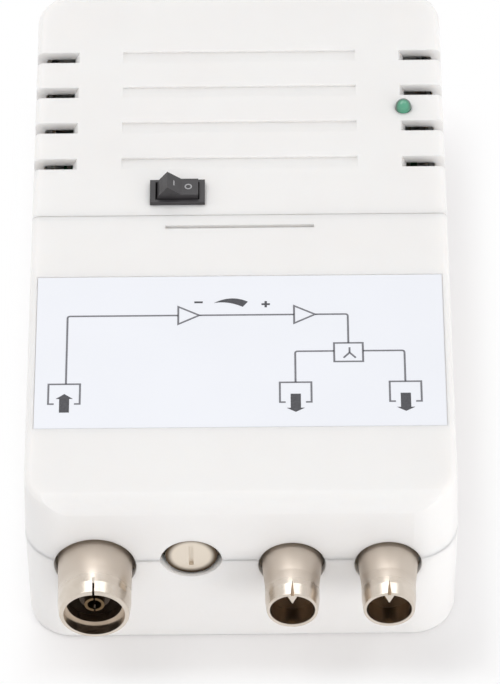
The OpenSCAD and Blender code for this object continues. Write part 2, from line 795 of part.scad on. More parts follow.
module rear_shell() {
    color([0.90, 0.90, 0.90])
        difference() {
            union() {
                difference() {
                    translate([0, 0, parting_z])
                        rotate([180, 0, 0])
                            rounded_form(case_w, case_l, parting_z, corner_r, shell_draft, back_round);
                    translate([0, 0, parting_z])
                        rotate([180, 0, 0])
                            hollow_form(parting_z - floor_t, shell_draft);
                }
                locating_lip();
                shell_posts();
            }
            port_cuts();
            for (x = [-screw_x, screw_x], y = screw_ys)
                translate([x, y, 0]) {
                    translate([0, 0, -over])
                        cylinder(d = head_recess_d, h = head_recess_h + over);
                    cylinder(d = screw_clear_d, h = case_h);
                }
            for (x = [-post_x, post_x], y = post_ys)
                translate([x, y, psu_z - board_screw_l - seat_gap])
                    cylinder(d = board_screw_d + 2 * fit_gap, h = board_screw_l + over);
            for (y = [-keyhole_y, keyhole_y])
                translate([0, y, 0]) {
                    translate([0, 0, -over])
                        cylinder(d = keyhole_d, h = floor_t + 2 * over);
                    translate([0, 0, -over])
                        keyhole_slot(keyhole_slot_w, floor_t + 2 * over);
                    translate([0, 0, floor_t])
                        keyhole_slot(keyhole_pocket_w, keyhole_pocket_h);
                }
        }
}

// Solid block of the covers, with a large rounding across the ends and a small one along the sides
module cover_form() {
    cx = case_w / 2 - corner_r;
    cy = case_l / 2 - corner_r;
    end_inset = round_inset(cover_h, cover_draft, end_round);
    across_x(2 * cx)
        full_profile(case_l / 2, cover_h, cover_draft, end_round);
    along_y(2 * cy)
        full_profile(case_w / 2, cover_h, cover_draft, side_round);
    for (sx = [0, 1], sy = [0, 1])
        mirror([sx, 0, 0])
            mirror([0, sy, 0])
                difference() {
                    translate([cx, cy, 0])
                        rotate_extrude(angle = 90)
                            half_profile(corner_r, cover_h, cover_draft, side_round);
                    across_x(case_w + 2 * over)
                        translate([case_l / 2 - end_inset, cover_h - end_round])
                            edge_waste(end_round);
                }
}

module cover_blank() {
    translate([0, 0, parting_z])
        difference() {
            cover_form();
            hollow_form(cover_h - wall, cover_draft);
        }
}

module cover_boss(x, y) {
    translate([x, y, parting_z + seat_gap])
        cylinder(d = boss_d, h = ceiling_z + root - parting_z - seat_gap);
}

module boss_pilot(x, y) {
    translate([x, y, parting_z - over])
        cylinder(d = screw_d + 2 * fit_gap, h = over + screw_grip + seat_gap);
}

module latch_tongue() {
    tongue_w = latch_slot_l - 2 * latch_slot_w;
    tongue_z = ceiling_z - seat_gap - latch_t;
    nose_w = latch_slot_w - 2 * lip_gap;
    translate([-tongue_w / 2, seam_y - latch_lap, tongue_z])
        cube([tongue_w, latch_lap + latch_root, latch_t]);
    translate([-tongue_w / 2, seam_y + seam_gap / 2, tongue_z])
        cube([tongue_w, latch_root - seam_gap / 2, latch_t + seat_gap + root]);
    translate([-tongue_w / 2, seam_y - latch_setback - nose_w / 2, tongue_z])
        cube([tongue_w, nose_w, case_h - latch_nose_drop - tongue_z]);
}

module scoop(y) {
    translate([0, y, case_h])
        across_x(groove_l)
            polygon([
                [groove_w / 2, -groove_d], [groove_w / 2, over],
                [-groove_w / 2, over], [-groove_w / 2, 0]
            ]);
}

module upper_cover() {
    color([0.95, 0.95, 0.95])
        difference() {
            union() {
                intersection() {
                    cover_blank();
                    translate([-case_w / 2 - over, seam_y + seam_gap / 2, 0])
                        cube([case_w + 2 * over, case_l, case_h + over]);
                }
                for (x = [-screw_x, screw_x])
                    cover_boss(x, screw_ys[1]);
                latch_tongue();
            }
            for (x = [-screw_x, screw_x])
                boss_pilot(x, screw_ys[1]);
            for (y = vent_ys, s = [0, 1])
                mirror([s, 0, 0])
                    translate([vent_inner_x, y, case_h])
                        along_y(vent_w)
                            polygon([
                                [0, over], [0, 0], [vent_slope, -vent_drop], [case_w / 2, -vent_drop],
                                [case_w / 2, over]
                            ]);
            for (y = vent_ys)
                scoop(y);
            translate([switch_x, switch_y, case_h])
                cube([switch_body_l + 2 * fit_gap, switch_body_w + 2 * fit_gap, 4 * wall], center = true);
            translate([lamp_x, lamp_y, ceiling_z - over])
                cylinder(d = lamp_d + 2 * fit_gap, h = wall + 2 * over);
            gland_hole(gland_neck_d + 2 * fit_gap, port_cut_l);
        }
}

module lower_cover() {
    color([0.95, 0.95, 0.95])
        difference() {
            union() {
                intersection() {
                    cover_blank();
                    translate([-case_w / 2 - over, seam_y - seam_gap / 2 - case_l, 0])
                        cube([case_w + 2 * over, case_l, case_h + over]);
                }
                for (x = [-screw_x, screw_x])
                    cover_boss(x, screw_ys[0]);
                for (y = rib_ys)
                    translate([-rib_l / 2, y - rib_t / 2, box_top + lid_t + seat_gap])
                        cube([rib_l, rib_t, ceiling_z + root - box_top - lid_t - seat_gap]);
            }
            for (x = [-screw_x, screw_x])
                boss_pilot(x, screw_ys[0]);
            translate([-latch_slot_l / 2, seam_y - latch_setback - latch_slot_w / 2, ceiling_z - over])
                cube([latch_slot_l, latch_slot_w, wall + 2 * over]);
            translate([-label_w / 2 - label_gap, label_y - label_gap, label_z])
                cube([label_w + 2 * label_gap, label_l + 2 * label_gap, label_recess + over]);
            round_port(-outer_port_x, in_hole_d);
            round_port(inner_port_x, out_hole_d);
            round_port(outer_port_x, out_hole_d);
            gain_port();
        }
}

module front_label() {
    color([0.97, 0.97, 0.97])
        translate([-label_w / 2, label_y, label_z])
            cube([label_w, label_l, label_t]);
}

module case_screws() {
    color([0.62, 0.62, 0.62])
        for (x = [-screw_x, screw_x], y = screw_ys)
            translate([x, y, head_recess_h]) {
                translate([0, 0, -screw_head_h])
                    cylinder(d = screw_head_d, h = screw_head_h);
                cylinder(d = screw_d, h = screw_top - head_recess_h);
            }
}

module cord_grommet() {
    inner = -wall - gland_seat - gland_in_t;
    color([0.88, 0.88, 0.88])
        translate([0, back_y, parting_z])
            rotate([-90, 0, 0])
                difference() {
                    rotate_extrude() {
                        translate([0, inner])
                            square([gland_flange_d / 2, gland_in_t]);
                        translate([0, inner])
                            square([gland_neck_d / 2, gland_in_t + gland_neck_l + gland_out_t]);
                        translate([0, gland_seat])
                            square([gland_flange_d / 2, gland_out_t - gland_round]);
                        translate([0, gland_seat])
                            square([gland_flange_d / 2 - gland_round, gland_out_t]);
                        translate([gland_flange_d / 2 - gland_round, gland_seat + gland_out_t - gland_round])
                            circle(gland_round);
                    }
                    translate([0, 0, inner - over])
                        cylinder(d = gland_bore_d, h = gland_in_t + gland_neck_l + gland_out_t + 2 * over);
                }
}

module switch_body() {
    color([0.14, 0.14, 0.15])
        translate([switch_x, switch_y, 0])
            difference() {
                union() {
                    translate([-switch_body_l / 2, -switch_body_w / 2, switch_bottom])
                        cube([switch_body_l, switch_body_w, switch_depth]);
                    translate([-bezel_l / 2, -bezel_w / 2, case_h])
                        cube([bezel_l, bezel_w, bezel_h]);
                    for (s = [0, 1])
                        mirror([s, 0, 0])
                            translate([switch_body_l / 2, 0, ceiling_z - seat_gap])
                                along_y(snap_w)
                                    polygon([
                                        [-switch_wall / 2, 0], [snap_reach, 0],
                                        [0, -snap_h], [-switch_wall / 2, -snap_h]
                                    ]);
                }
                translate([-rocker_open_l / 2, -rocker_open_w / 2, switch_bottom + switch_base])
                    cube([rocker_open_l, rocker_open_w, switch_depth + bezel_h]);
                translate([0, 0, pivot_z])
                    rotate([90, 0, 0])
                        cylinder(d = pivot_d + 2 * fit_gap, h = pivot_l + 2 * fit_gap, center = true);
                for (s = [-1, 1])
                    translate([s * terminal_pitch / 2, 0, switch_bottom])
                        linear_extrude(4 * switch_base, center = true)
                            square([terminal_t + 2 * fit_gap, terminal_w + 2 * fit_gap], center = true);
            }
}

module switch_rocker() {
    color([0.16, 0.16, 0.17])
        translate([switch_x, switch_y, pivot_z])
            rotate([0, rocker_tilt, 0]) {
                along_y(rocker_w) {
                    polygon([
                        [0, rocker_valley], [arm_dx, rocker_valley + arm_dz],
                        [arm_dx + end_dx, tip_z], [0, 0], [-arm_dx - end_dx, tip_z],
                        [-arm_dx, rocker_valley + arm_dz]
                    ]);
                    intersection() {
                        circle(tip_r - fit_gap);
                        translate([-tip_r, -rocker_skirt])
                            square([2 * tip_r, rocker_skirt + tip_z]);
                    }
                }
                rotate([90, 0, 0])
                    cylinder(d = pivot_d, h = pivot_l, center = true);
            }
}

module switch_terminals() {
    color([0.80, 0.72, 0.45])
        for (s = [-1, 1])
            translate([switch_x + s * terminal_pitch / 2, switch_y, terminal_z])
                linear_extrude(terminal_l + switch_base + terminal_in)
                    square([terminal_t, terminal_w], center = true);
}

module switch_leads() {
    color([0.25, 0.35, 0.65])
        for (s = [-1, 1])
            translate([switch_x + s * terminal_pitch / 2, switch_y, psu_top])
                cylinder(d = lead_d, h = terminal_z - psu_top);
}

module led_lens() {
    dome_z = case_h + lamp_reach - lamp_d / 2;
    color([0.15, 0.55, 0.48, 0.85])
        translate([lamp_x, lamp_y, 0]) {
            translate([0, 0, lamp_base])
                cylinder(d = lamp_flange_d, h = lamp_flange_t);
            translate([0, 0, lamp_base])
                cylinder(d = lamp_d, h = dome_z - lamp_base);
            translate([0, 0, dome_z])
                sphere(d = lamp_d);
        }
}

module led_leads() {
    color([0.75, 0.75, 0.75])
        for (s = [-1, 1])
            translate([lamp_x + s * lamp_lead_pitch / 2 - lamp_lead_t / 2, lamp_y - lamp_lead_t / 2, psu_top])
                cube([lamp_lead_t, lamp_lead_t, lamp_base - psu_top]);
}

module box_wall_hole(x, z, d) {
    translate([x, box_y, z])
        rotate([90, 0, 0])
            cylinder(d = d, h = 4 * box_t, center = true);
}

module rf_frame() {
    color([0.72, 0.70, 0.66])
        difference() {
            translate([-box_w / 2, box_y, box_z])
                cube([box_w, box_l, box_h]);
            translate([-box_w / 2 + box_t, box_y + box_t, box_z - over])
                cube([box_w - 2 * box_t, box_l - 2 * box_t, box_h + 2 * over]);
            box_wall_hole(-outer_port_x, port_z, in_spigot_d + 2 * fit_gap);
            box_wall_hole(inner_port_x, port_z, out_spigot_d + 2 * fit_gap);
            box_wall_hole(outer_port_x, port_z, out_spigot_d + 2 * fit_gap);
            box_wall_hole(gain_x, parting_z, gain_shaft_d + 2 * port_gap);
        }
}

// Folded lid drawn with its plate below and its skirt standing up
module box_lid() {
    outer = lid_t + fit_gap;
    difference() {
        translate([-box_w / 2 - outer, box_y - outer, 0])
            cube([box_w + 2 * outer, box_l + 2 * outer, lid_t + lid_skirt]);
        translate([-box_w / 2 - fit_gap, box_y - fit_gap, lid_t])
            cube([box_w + 2 * fit_gap, box_l + 2 * fit_gap, lid_skirt + over]);
    }
}

// Clearance in the lid skirts round the socket collars
module collar_cuts() {
    for (port = [[-outer_port_x, in_hole_d], [inner_port_x, out_hole_d], [outer_port_x, out_hole_d]])
        box_wall_hole(port[0], port_z, port[1]);
}

module rf_top_lid() {
    color([0.74, 0.72, 0.68])
        difference() {
            translate([0, 0, box_top + lid_t])
                mirror([0, 0, 1])
                    box_lid();
            collar_cuts();
        }
}

module rf_bottom_lid() {
    color([0.74, 0.72, 0.68])
        difference() {
            translate([0, 0, box_z - lid_t])
                box_lid();
            collar_cuts();
        }
}

module rf_board() {
    notch_w = gain_body_w + 2 * port_gap;
    notch_l = gain_body_l + port_gap;
    rim_clear_d = in_spigot_d + 2 * rim_w + 2 * fit_gap;
    color([0.62, 0.47, 0.26])
        difference() {
            translate([-box_w / 2 + box_t + fit_gap, box_y + box_t + fit_gap, rf_top - pcb_t])
                cube([box_w - 2 * box_t - 2 * fit_gap, box_l - 2 * box_t - 2 * fit_gap, pcb_t]);
            translate([gain_x - notch_w / 2, box_y, rf_top - pcb_t - over])
                cube([notch_w, box_t + notch_l, pcb_t + 2 * over]);
            for (x = [-outer_port_x, inner_port_x, outer_port_x])
                translate([x, box_y, port_z])
                    rotate([90, 0, 0])
                        cylinder(d = rim_clear_d, h = 2 * (box_t + rim_t + seat_gap), center = true);
        }
}

// Places a turned socket piece at its port, with its axis drawn from the box wall outwards
module at_port(x) {
    translate([x, box_y, port_z])
        rotate([90, 0, 0])
            children();
}

module input_barrel() {
    collar_l = box_setback + collar_reach;
    nose_r = in_nose_d / 2;
    color([0.80, 0.77, 0.72])
        at_port(-outer_port_x)
            difference() {
                rotate_extrude() {
                    polygon([
                        [in_bore_d / 2, spigot_back], [in_spigot_d / 2 + rim_w, spigot_back],
                        [in_spigot_d / 2 + rim_w, -box_t], [in_spigot_d / 2, -box_t], [in_spigot_d / 2, 0],
                        [in_collar_d / 2, 0], [in_collar_d / 2, collar_l],
                        [in_barrel_d / 2, collar_l + flare_l], [in_barrel_d / 2, in_mouth - nose_l],
                        [nose_r, in_mouth - in_lip_round], [nose_r - in_lip_round, in_mouth],
                        [in_mouth_d / 2, in_mouth], [in_mouth_d / 2, in_mouth - in_mouth_depth],
                        [in_bore_d / 2, in_mouth - in_mouth_depth]
                    ]);
                    translate([nose_r - in_lip_round, in_mouth - in_lip_round])
                        circle(in_lip_round);
                }
                translate([-in_slit_w / 2, 0, in_mouth - in_slit_l])
                    cube([in_slit_w, in_barrel_d, in_slit_l + over]);
            }
}

module input_insulator() {
    sleeve_l = in_mouth - contact_recess - in_sleeve_setback;
    color([0.92, 0.91, 0.88])
        at_port(-outer_port_x)
            difference() {
                union() {
                    translate([0, 0, spigot_back])
                        cylinder(d = in_bore_d - 2 * fit_gap, h = insulator_l - spigot_back);
                    translate([0, 0, spigot_back])
                        cylinder(d = in_sleeve_d, h = sleeve_l - spigot_back);
                }
                translate([0, 0, spigot_back - over])
                    cylinder(d = contact_d + 2 * fit_gap, h = in_mouth);
            }
}

module input_contact() {
    tip = in_mouth - contact_recess;
    color([0.78, 0.66, 0.42])
        at_port(-outer_port_x)
            difference() {
                union() {
                    translate([0, 0, spigot_back])
                        cylinder(d = contact_d, h = tip - spigot_back);
                    translate([0, 0, spigot_back - tail_l])
                        cylinder(d = tail_d, h = tail_l + over);
                }
                translate([0, 0, tip - contact_bore_l])
                    cylinder(d = contact_bore_d, h = contact_bore_l + over);
                translate([-contact_slot_w / 2, -contact_d, tip - contact_slot_l])
                    cube([contact_slot_w, 2 * contact_d, contact_slot_l + over]);
            }
}

module output_barrel(x) {
    collar_l = box_setback + collar_reach;
    barrel_r = out_barrel_d / 2;
    bore_r = out_bore_d / 2;
    spigot_r = out_spigot_d / 2;
    nose_r = out_nose_d / 2;
    lip_r = (nose_r - bore_r) / 2;
    crease_z = out_mouth - crease_l;
    groove_fall = atan((barrel_r - nose_r + crease_groove_d) / crease_l);
    color([0.80, 0.77, 0.72])
        at_port(x)
            difference() {
                union() {
                    rotate_extrude() {
                        polygon([
                            [bore_r, spigot_back], [spigot_r + rim_w, spigot_back],
                            [spigot_r + rim_w, -box_t], [spigot_r, -box_t], [spigot_r, 0],
                            [out_collar_d / 2, 0], [out_collar_d / 2, collar_l],
                            [barrel_r, collar_l + flare_l], [barrel_r, out_mouth - nose_l],
                            [nose_r, out_mouth - lip_r], [bore_r, out_mouth - lip_r]
                        ]);
                        translate([nose_r - lip_r, out_mouth - lip_r])
                            circle(lip_r);
                    }
                    translate([0, 0, crease_z])
                        linear_extrude(crease_l - lip_r)
                            polygon([
                                [-crease_w / 2, bore_r + lip_r / 2], [crease_w / 2, bore_r + lip_r / 2],
                                [0, bore_r - crease_d]
                            ]);
                }
                translate([0, barrel_r, crease_z])
                    rotate([groove_fall, 0, 0])
                        linear_extrude(2 * crease_l)
                            polygon([
                                [0, 0], [crease_groove_w, 2 * crease_groove_d],
                                [-crease_groove_w, 2 * crease_groove_d]
                            ]);
            }
}

module output_1_barrel() {
    output_barrel(inner_port_x);
}

module output_2_barrel() {
    output_barrel(outer_port_x);
}

module output_insulator(x) {
    color([0.92, 0.91, 0.88])
        at_port(x)
            difference() {
                translate([0, 0, spigot_back])
                    cylinder(d = out_bore_d - 2 * fit_gap, h = insulator_l - spigot_back);
                translate([0, 0, spigot_back - over])
                    cylinder(d = pin_d + 2 * fit_gap, h = insulator_l + 4 * over);
            }
}

module output_1_insulator() {
    output_insulator(inner_port_x);
}

module output_2_insulator() {
    output_insulator(outer_port_x);
}

module output_pin(x) {
    tip = out_mouth - pin_recess - pin_d / 2;
    color([0.80, 0.72, 0.52])
        at_port(x) {
            translate([0, 0, spigot_back])
                cylinder(d = pin_d, h = tip - spigot_back);
            translate([0, 0, tip])
                sphere(d = pin_d);
            translate([0, 0, spigot_back - tail_l])
                cylinder(d = tail_d, h = tail_l + over);
        }
}

module output_1_pin() {
    output_pin(inner_port_x);
}

module output_2_pin() {
    output_pin(outer_port_x);
}

module gain_body() {
    color([0.20, 0.30, 0.55])
        difference() {
            translate([gain_x - gain_body_w / 2, box_y + box_t, parting_z - gain_body_h / 2])
                cube([gain_body_w, gain_body_l, gain_body_h]);
            translate([gain_x, box_y, parting_z])
                rotate([-90, 0, 0])
                    cylinder(d = gain_shaft_d + 2 * fit_gap, h = box_t + gain_shaft_in + port_gap);
        }
}

module gain_shaft() {
    disc_y = front_y + gain_disc_setback;
    color([0.74, 0.72, 0.68])
        translate([gain_x, disc_y, parting_z])
            rotate([-90, 0, 0])
                difference() {
                    union() {
                        cylinder(d = gain_disc_d, h = gain_disc_t);
                        cylinder(d = gain_shaft_d, h = box_y + box_t + gain_shaft_in - disc_y);
                    }
                    translate([-gain_slot_w / 2, -gain_slot_l / 2, -over])
                        cube([gain_slot_w, gain_slot_l, over + gain_slot_d]);
                }
}

// Places a piece on the radio board, measured from the front of the screening box
module on_rf(x, dy) {
    translate([x, box_y + dy, rf_top])
        children();
}

// Places a piece on the supply board, measured from its cord end
module on_psu(x, dy) {
    translate([x, psu_y - dy, psu_top])
        children();
}

module standing_wires(pitch, h) {
    for (s = [-1, 1])
        translate([s * pitch / 2, 0, 0])
            cylinder(d = wire_d, h = h);
}

module rf_transistors() {
    color([0.16, 0.16, 0.17])
        for (x = [transistor_1_x, transistor_2_x])
            on_rf(x, transistor_y) {
                translate([0, 0, standoff])
                    intersection() {
                        cylinder(d = transistor_d, h = transistor_h);
                        translate([-transistor_d / 2, -transistor_d / 4, 0])
                            cube([transistor_d, transistor_d, transistor_h]);
                    }
                standing_wires(transistor_d / 2, standoff + root);
                cylinder(d = wire_d, h = standoff + root);
            }
}

module splitter_core() {
    color([0.25, 0.23, 0.22])
        on_rf(core_x, core_y)
            difference() {
                translate([-core_l / 2, -core_w / 2, 0])
                    cube([core_l, core_w, core_h]);
                for (s = [-1, 1])
                    translate([s * core_l / 4, 0, core_h / 2])
                        rotate([90, 0, 0])
                            cylinder(d = core_bore_d, h = core_w + 2 * over, center = true);
            }
}

module ceramic_capacitors() {
    color([0.78, 0.55, 0.25])
        for (i = [0 : len(disc_xs) - 1])
            on_rf(disc_xs[i], disc_ys[i]) {
                translate([0, 0, standoff + disc_d / 2])
                    rotate([90, 0, 0])
                        cylinder(d = disc_d, h = disc_t, center = true);
                standing_wires(disc_d / 2, standoff + disc_d / 4);
            }
}

// Part lying along X with its leads bent down to the board
module lying_part(l, d, span) {
    axis_z = standoff + d / 2;
    translate([0, 0, axis_z])
        rotate([0, 90, 0])
            cylinder(d = d, h = l, center = true);
    translate([0, 0, axis_z])
        rotate([0, 90, 0])
            cylinder(d = wire_d, h = span, center = true);
    standing_wires(span - wire_d, axis_z);
}

module rf_resistors() {
    color([0.80, 0.70, 0.52])
        for (i = [0 : len(resistor_xs) - 1])
            on_rf(resistor_xs[i], resistor_ys[i])
                lying_part(resistor_l, resistor_d, resistor_l + 4 * wire_d);
}

module psu_board() {
    color([0.62, 0.47, 0.26])
        difference() {
            translate([-psu_w / 2, psu_front, psu_z])
                cube([psu_w, psu_l, pcb_t]);
            for (x = [-post_x, post_x], y = post_ys)
                translate([x, y, psu_z - over])
                    cylinder(d = board_screw_d + 2 * port_gap, h = pcb_t + 2 * over);
        }
}

module board_screws() {
    color([0.62, 0.62, 0.62])
        for (x = [-post_x, post_x], y = post_ys)
            translate([x, y, psu_top]) {
                cylinder(d = board_head_d, h = board_head_h);
                translate([0, 0, -pcb_t - board_screw_l])
                    cylinder(d = board_screw_d, h = pcb_t + board_screw_l);
            }
}

module at_trafo(z) {
    translate([trafo_x, psu_y - trafo_y, z])
        children();
}

module transformer_core() {
    window_w = (iron_l - iron_leg - 2 * iron_yoke) / 2;
    color([0.40, 0.40, 0.42])
        at_trafo(trafo_z)
            difference() {
                translate([-iron_l / 2, -iron_t / 2, 0])
                    cube([iron_l, iron_t, iron_h]);
                for (s = [-1, 1])
                    translate([s * (iron_leg + window_w) / 2 - window_w / 2, -iron_t, iron_yoke])
                        cube([window_w, 2 * iron_t, window_h]);
            }
}

module transformer_bobbin() {
    tube_w = leg_tube + 2 * bobbin_t;
    tube_l = leg_tube_t + 2 * bobbin_t;
    flange_w = iron_l - 2 * iron_yoke - 2 * bobbin_gap;
    flange_l = iron_t + 2 * bobbin_reach;
    color([0.85, 0.85, 0.82])
        at_trafo(flange_z)
            difference() {
                union() {
                    for (z = [0, bobbin_h - bobbin_t])
                        translate([-flange_w / 2, -flange_l / 2, z])
                            cube([flange_w, flange_l, bobbin_t]);
                    translate([-tube_w / 2, -tube_l / 2, 0])
                        cube([tube_w, tube_l, bobbin_h]);
                }
                translate([-leg_tube / 2, -leg_tube_t / 2, -over])
                    cube([leg_tube, leg_tube_t, bobbin_h + 2 * over]);
            }
}

module transformer_winding() {
    tube_w = leg_tube + 2 * bobbin_t;
    tube_l = leg_tube_t + 2 * bobbin_t;
    color([0.85, 0.70, 0.25])
        at_trafo(flange_z + bobbin_t)
            difference() {
                translate([-tube_w / 2 - winding_t, -tube_l / 2 - winding_t, 0])
                    cube([tube_w + 2 * winding_t, tube_l + 2 * winding_t, winding_h]);
                translate([-tube_w / 2, -tube_l / 2, -over])
                    cube([tube_w, tube_l, winding_h + 2 * over]);
            }
}

module transformer_pins() {
    pin_y = iron_t / 2 + bobbin_reach - trafo_pin_t;
    color([0.75, 0.75, 0.75])
        for (i = [-1, 0, 1], s = [-1, 1])
            at_trafo(psu_top)
                translate([i * trafo_pin_pitch - trafo_pin_t / 2, s * pin_y - trafo_pin_t / 2, 0])
                    cube([trafo_pin_t, trafo_pin_t, flange_z - psu_top]);
}

// Upright can capacitor with a sleeve rim round its top
module can_capacitor(d, h) {
    difference() {
        cylinder(d = d, h = h);
        translate([0, 0, h - cap_dish])
            cylinder(d = d - 4 * cap_dish, h = cap_dish + over);
    }
}

module smoothing_capacitor() {
    color([0.15, 0.18, 0.30])
        on_psu(capacitor_x, smooth_y)
            can_capacitor(smooth_d, smooth_h);
}

module output_capacitor() {
    color([0.15, 0.18, 0.30])
        on_psu(capacitor_x, output_cap_y)
            can_capacitor(output_cap_d, output_cap_h);
}

module rectifier_diodes() {
    color([0.16, 0.16, 0.17])
        for (i = [0 : 3])
            on_psu(diode_x, diode_first + i * diode_pitch)
                lying_part(diode_l, diode_d, diode_span);
}

module voltage_regulator() {
    color([0.20, 0.20, 0.21])
        on_psu(reg_x, psu_l - reg_y)
            difference() {
                union() {
                    translate([-reg_w / 2, -reg_t / 2, reg_lift])
                        cube([reg_w, reg_t, reg_h]);
                    translate([-reg_w / 2, -reg_t / 2, reg_lift])
                        cube([reg_w, reg_tab_t, reg_h + reg_tab_h]);
                    for (i = [-1, 0, 1])
                        translate([i * lamp_lead_pitch - lamp_lead_t / 2, -lamp_lead_t / 2, 0])
                            cube([lamp_lead_t, lamp_lead_t, reg_lift + root]);
                }
                translate([0, 0, reg_lift + reg_h + reg_tab_h / 2])
                    rotate([90, 0, 0])
                        cylinder(d = reg_hole_d, h = reg_w, center = true);
            }
}

module fuse_link() {
    color([0.80, 0.80, 0.78])
        on_psu(fuse_x, psu_l - fuse_y)
            translate([0, 0, fuse_z])
                rotate([0, 90, 0])
                    cylinder(d = fuse_d, h = fuse_l, center = true);
}

module fuse_clips() {
    clip_h = fuse_z + fuse_d / 4;
    clip_half = fuse_d / 2 + fit_gap;
    color([0.76, 0.76, 0.74])
        for (s = [-1, 1])
            on_psu(fuse_x + s * (fuse_l - clip_w) / 2, psu_l - fuse_y) {
                translate([-clip_w / 2, -clip_half - clip_t, 0])
                    cube([clip_w, 2 * clip_half + 2 * clip_t, clip_t]);
                for (side = [-1, 1])
                    translate([-clip_w / 2, side * (clip_half + clip_t / 2) - clip_t / 2, 0])
                        cube([clip_w, clip_t, clip_h]);
            }
}

module terminal_block() {
    color([0.25, 0.50, 0.35])
        on_psu(block_x, block_y)
            difference() {
                translate([-block_w / 2, -block_l / 2, 0])
                    cube([block_w, block_l, block_h]);
                for (s = [-1, 1])
                    translate([s * block_w / 4, 0, 0]) {
                        translate([0, 0, block_h / 3])
                            rotate([-90, 0, 0])
                                cylinder(d = block_wire_d, h = block_l);
                        translate([0, 0, block_h / 2])
                            cylinder(d = block_screw_d, h = block_h);
                    }
            }
}

module feed_leads() {
    lead_y = psu_front + post_inset;
    color([0.65, 0.20, 0.18])
        for (s = [-1, 1])
            translate([s * feed_pitch / 2, lead_y, psu_top]) {
                cylinder(d = lead_d, h = feed_z);
                translate([0, 0, feed_z])
                    sphere(d = lead_d);
                translate([0, 0, feed_z])
                    rotate([90, 0, 0])
                        cylinder(d = lead_d, h = lead_y - box_y - box_l);
            }
}

rear_shell();
upper_cover();
lower_cover();
front_label();
case_screws();
cord_grommet();
switch_body();
switch_rocker();
switch_terminals();
switch_leads();
led_lens();
led_leads();
rf_frame();
rf_top_lid();
rf_bottom_lid();
rf_board();
input_barrel();
input_insulator();
input_contact();
output_1_barrel();
output_2_barrel();
output_1_insulator();
output_2_insulator();
output_1_pin();
output_2_pin();
gain_body();
gain_shaft();
rf_transistors();
splitter_core();
ceramic_capacitors();
rf_resistors();
psu_board();
board_screws();
transformer_core();
transformer_bobbin();
transformer_winding();
transformer_pins();
smoothing_capacitor();
output_capacitor();
rectifier_diodes();
voltage_regulator();
fuse_link();
fuse_clips();
terminal_block();
feed_leads();
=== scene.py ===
"""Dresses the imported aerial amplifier: finishes, printed diagram, switch marks, screw heads and studio."""

import logging
import math
from dataclasses import dataclass
from enum import Enum, IntEnum
from typing import Sequence, Union

import bpy
import numpy as np
from mathutils import Matrix, Vector
from mathutils.bvhtree import BVHTree


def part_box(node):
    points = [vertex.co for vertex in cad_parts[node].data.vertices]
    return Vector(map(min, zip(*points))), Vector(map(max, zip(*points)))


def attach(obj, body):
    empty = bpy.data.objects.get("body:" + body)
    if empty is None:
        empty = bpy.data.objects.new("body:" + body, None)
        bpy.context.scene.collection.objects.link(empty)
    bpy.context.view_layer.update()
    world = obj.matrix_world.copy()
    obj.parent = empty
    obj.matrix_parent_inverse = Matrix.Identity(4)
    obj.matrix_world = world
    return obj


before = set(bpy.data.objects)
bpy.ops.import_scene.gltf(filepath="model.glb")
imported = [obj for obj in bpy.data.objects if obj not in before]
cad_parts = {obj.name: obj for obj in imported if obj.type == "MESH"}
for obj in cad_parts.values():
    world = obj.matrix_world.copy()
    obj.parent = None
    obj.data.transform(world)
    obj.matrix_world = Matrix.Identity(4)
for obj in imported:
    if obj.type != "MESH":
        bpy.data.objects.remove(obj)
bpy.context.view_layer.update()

LOG = logging.getLogger("amplifier")
MM = 0.001
MIDDLE = 0.5

Pair = tuple[float, float]
Colour = tuple[float, float, float, float]
Operand = Union["Signal", float]
SocketValue = Union["Signal", bpy.types.NodeSocket, float, Sequence[float]]
Settings = dict[str, object]
Sockets = dict[Union[int, str], SocketValue]

WHITE: Colour = (1.0, 1.0, 1.0, 1.0)


class Axis(IntEnum):
    """An axis of the part's frame, as an index."""

    X = 0
    Y = 1
    Z = 2


class Ray(Enum):
    """A kind of ray, by the name of its output on the Light Path node."""

    CAMERA = "Is Camera Ray"
    GLOSSY = "Is Glossy Ray"
    TRANSMISSION = "Is Transmission Ray"


class Grain(Enum):
    """How a fine pattern is drawn out: its repeats along X, Y and Z as factors."""

    EVEN = (1.0, 1.0, 1.0)
    TURNED_Y = (0.05, 1.0, 0.05)
    ROLLED_X = (0.06, 1.0, 1.0)


def display(red: int, green: int, blue: int) -> Colour:
    """Turns a display colour into linear light.

    Each channel has the display curve undone: ((c / 255 + 0.055) / 1.055) to the power 2.4.

    Args:
        red: Red from 0 to 255.
        green: Green from 0 to 255.
        blue: Blue from 0 to 255.

    Returns:
        The colour as four linear numbers, with full alpha.
    """
    share = np.array([red, green, blue]) / 255.0
    light = np.where(share > 0.04045, ((share + 0.055) / 1.055) ** 2.4, share / 12.92)
    return float(light[0]), float(light[1]), float(light[2]), 1.0


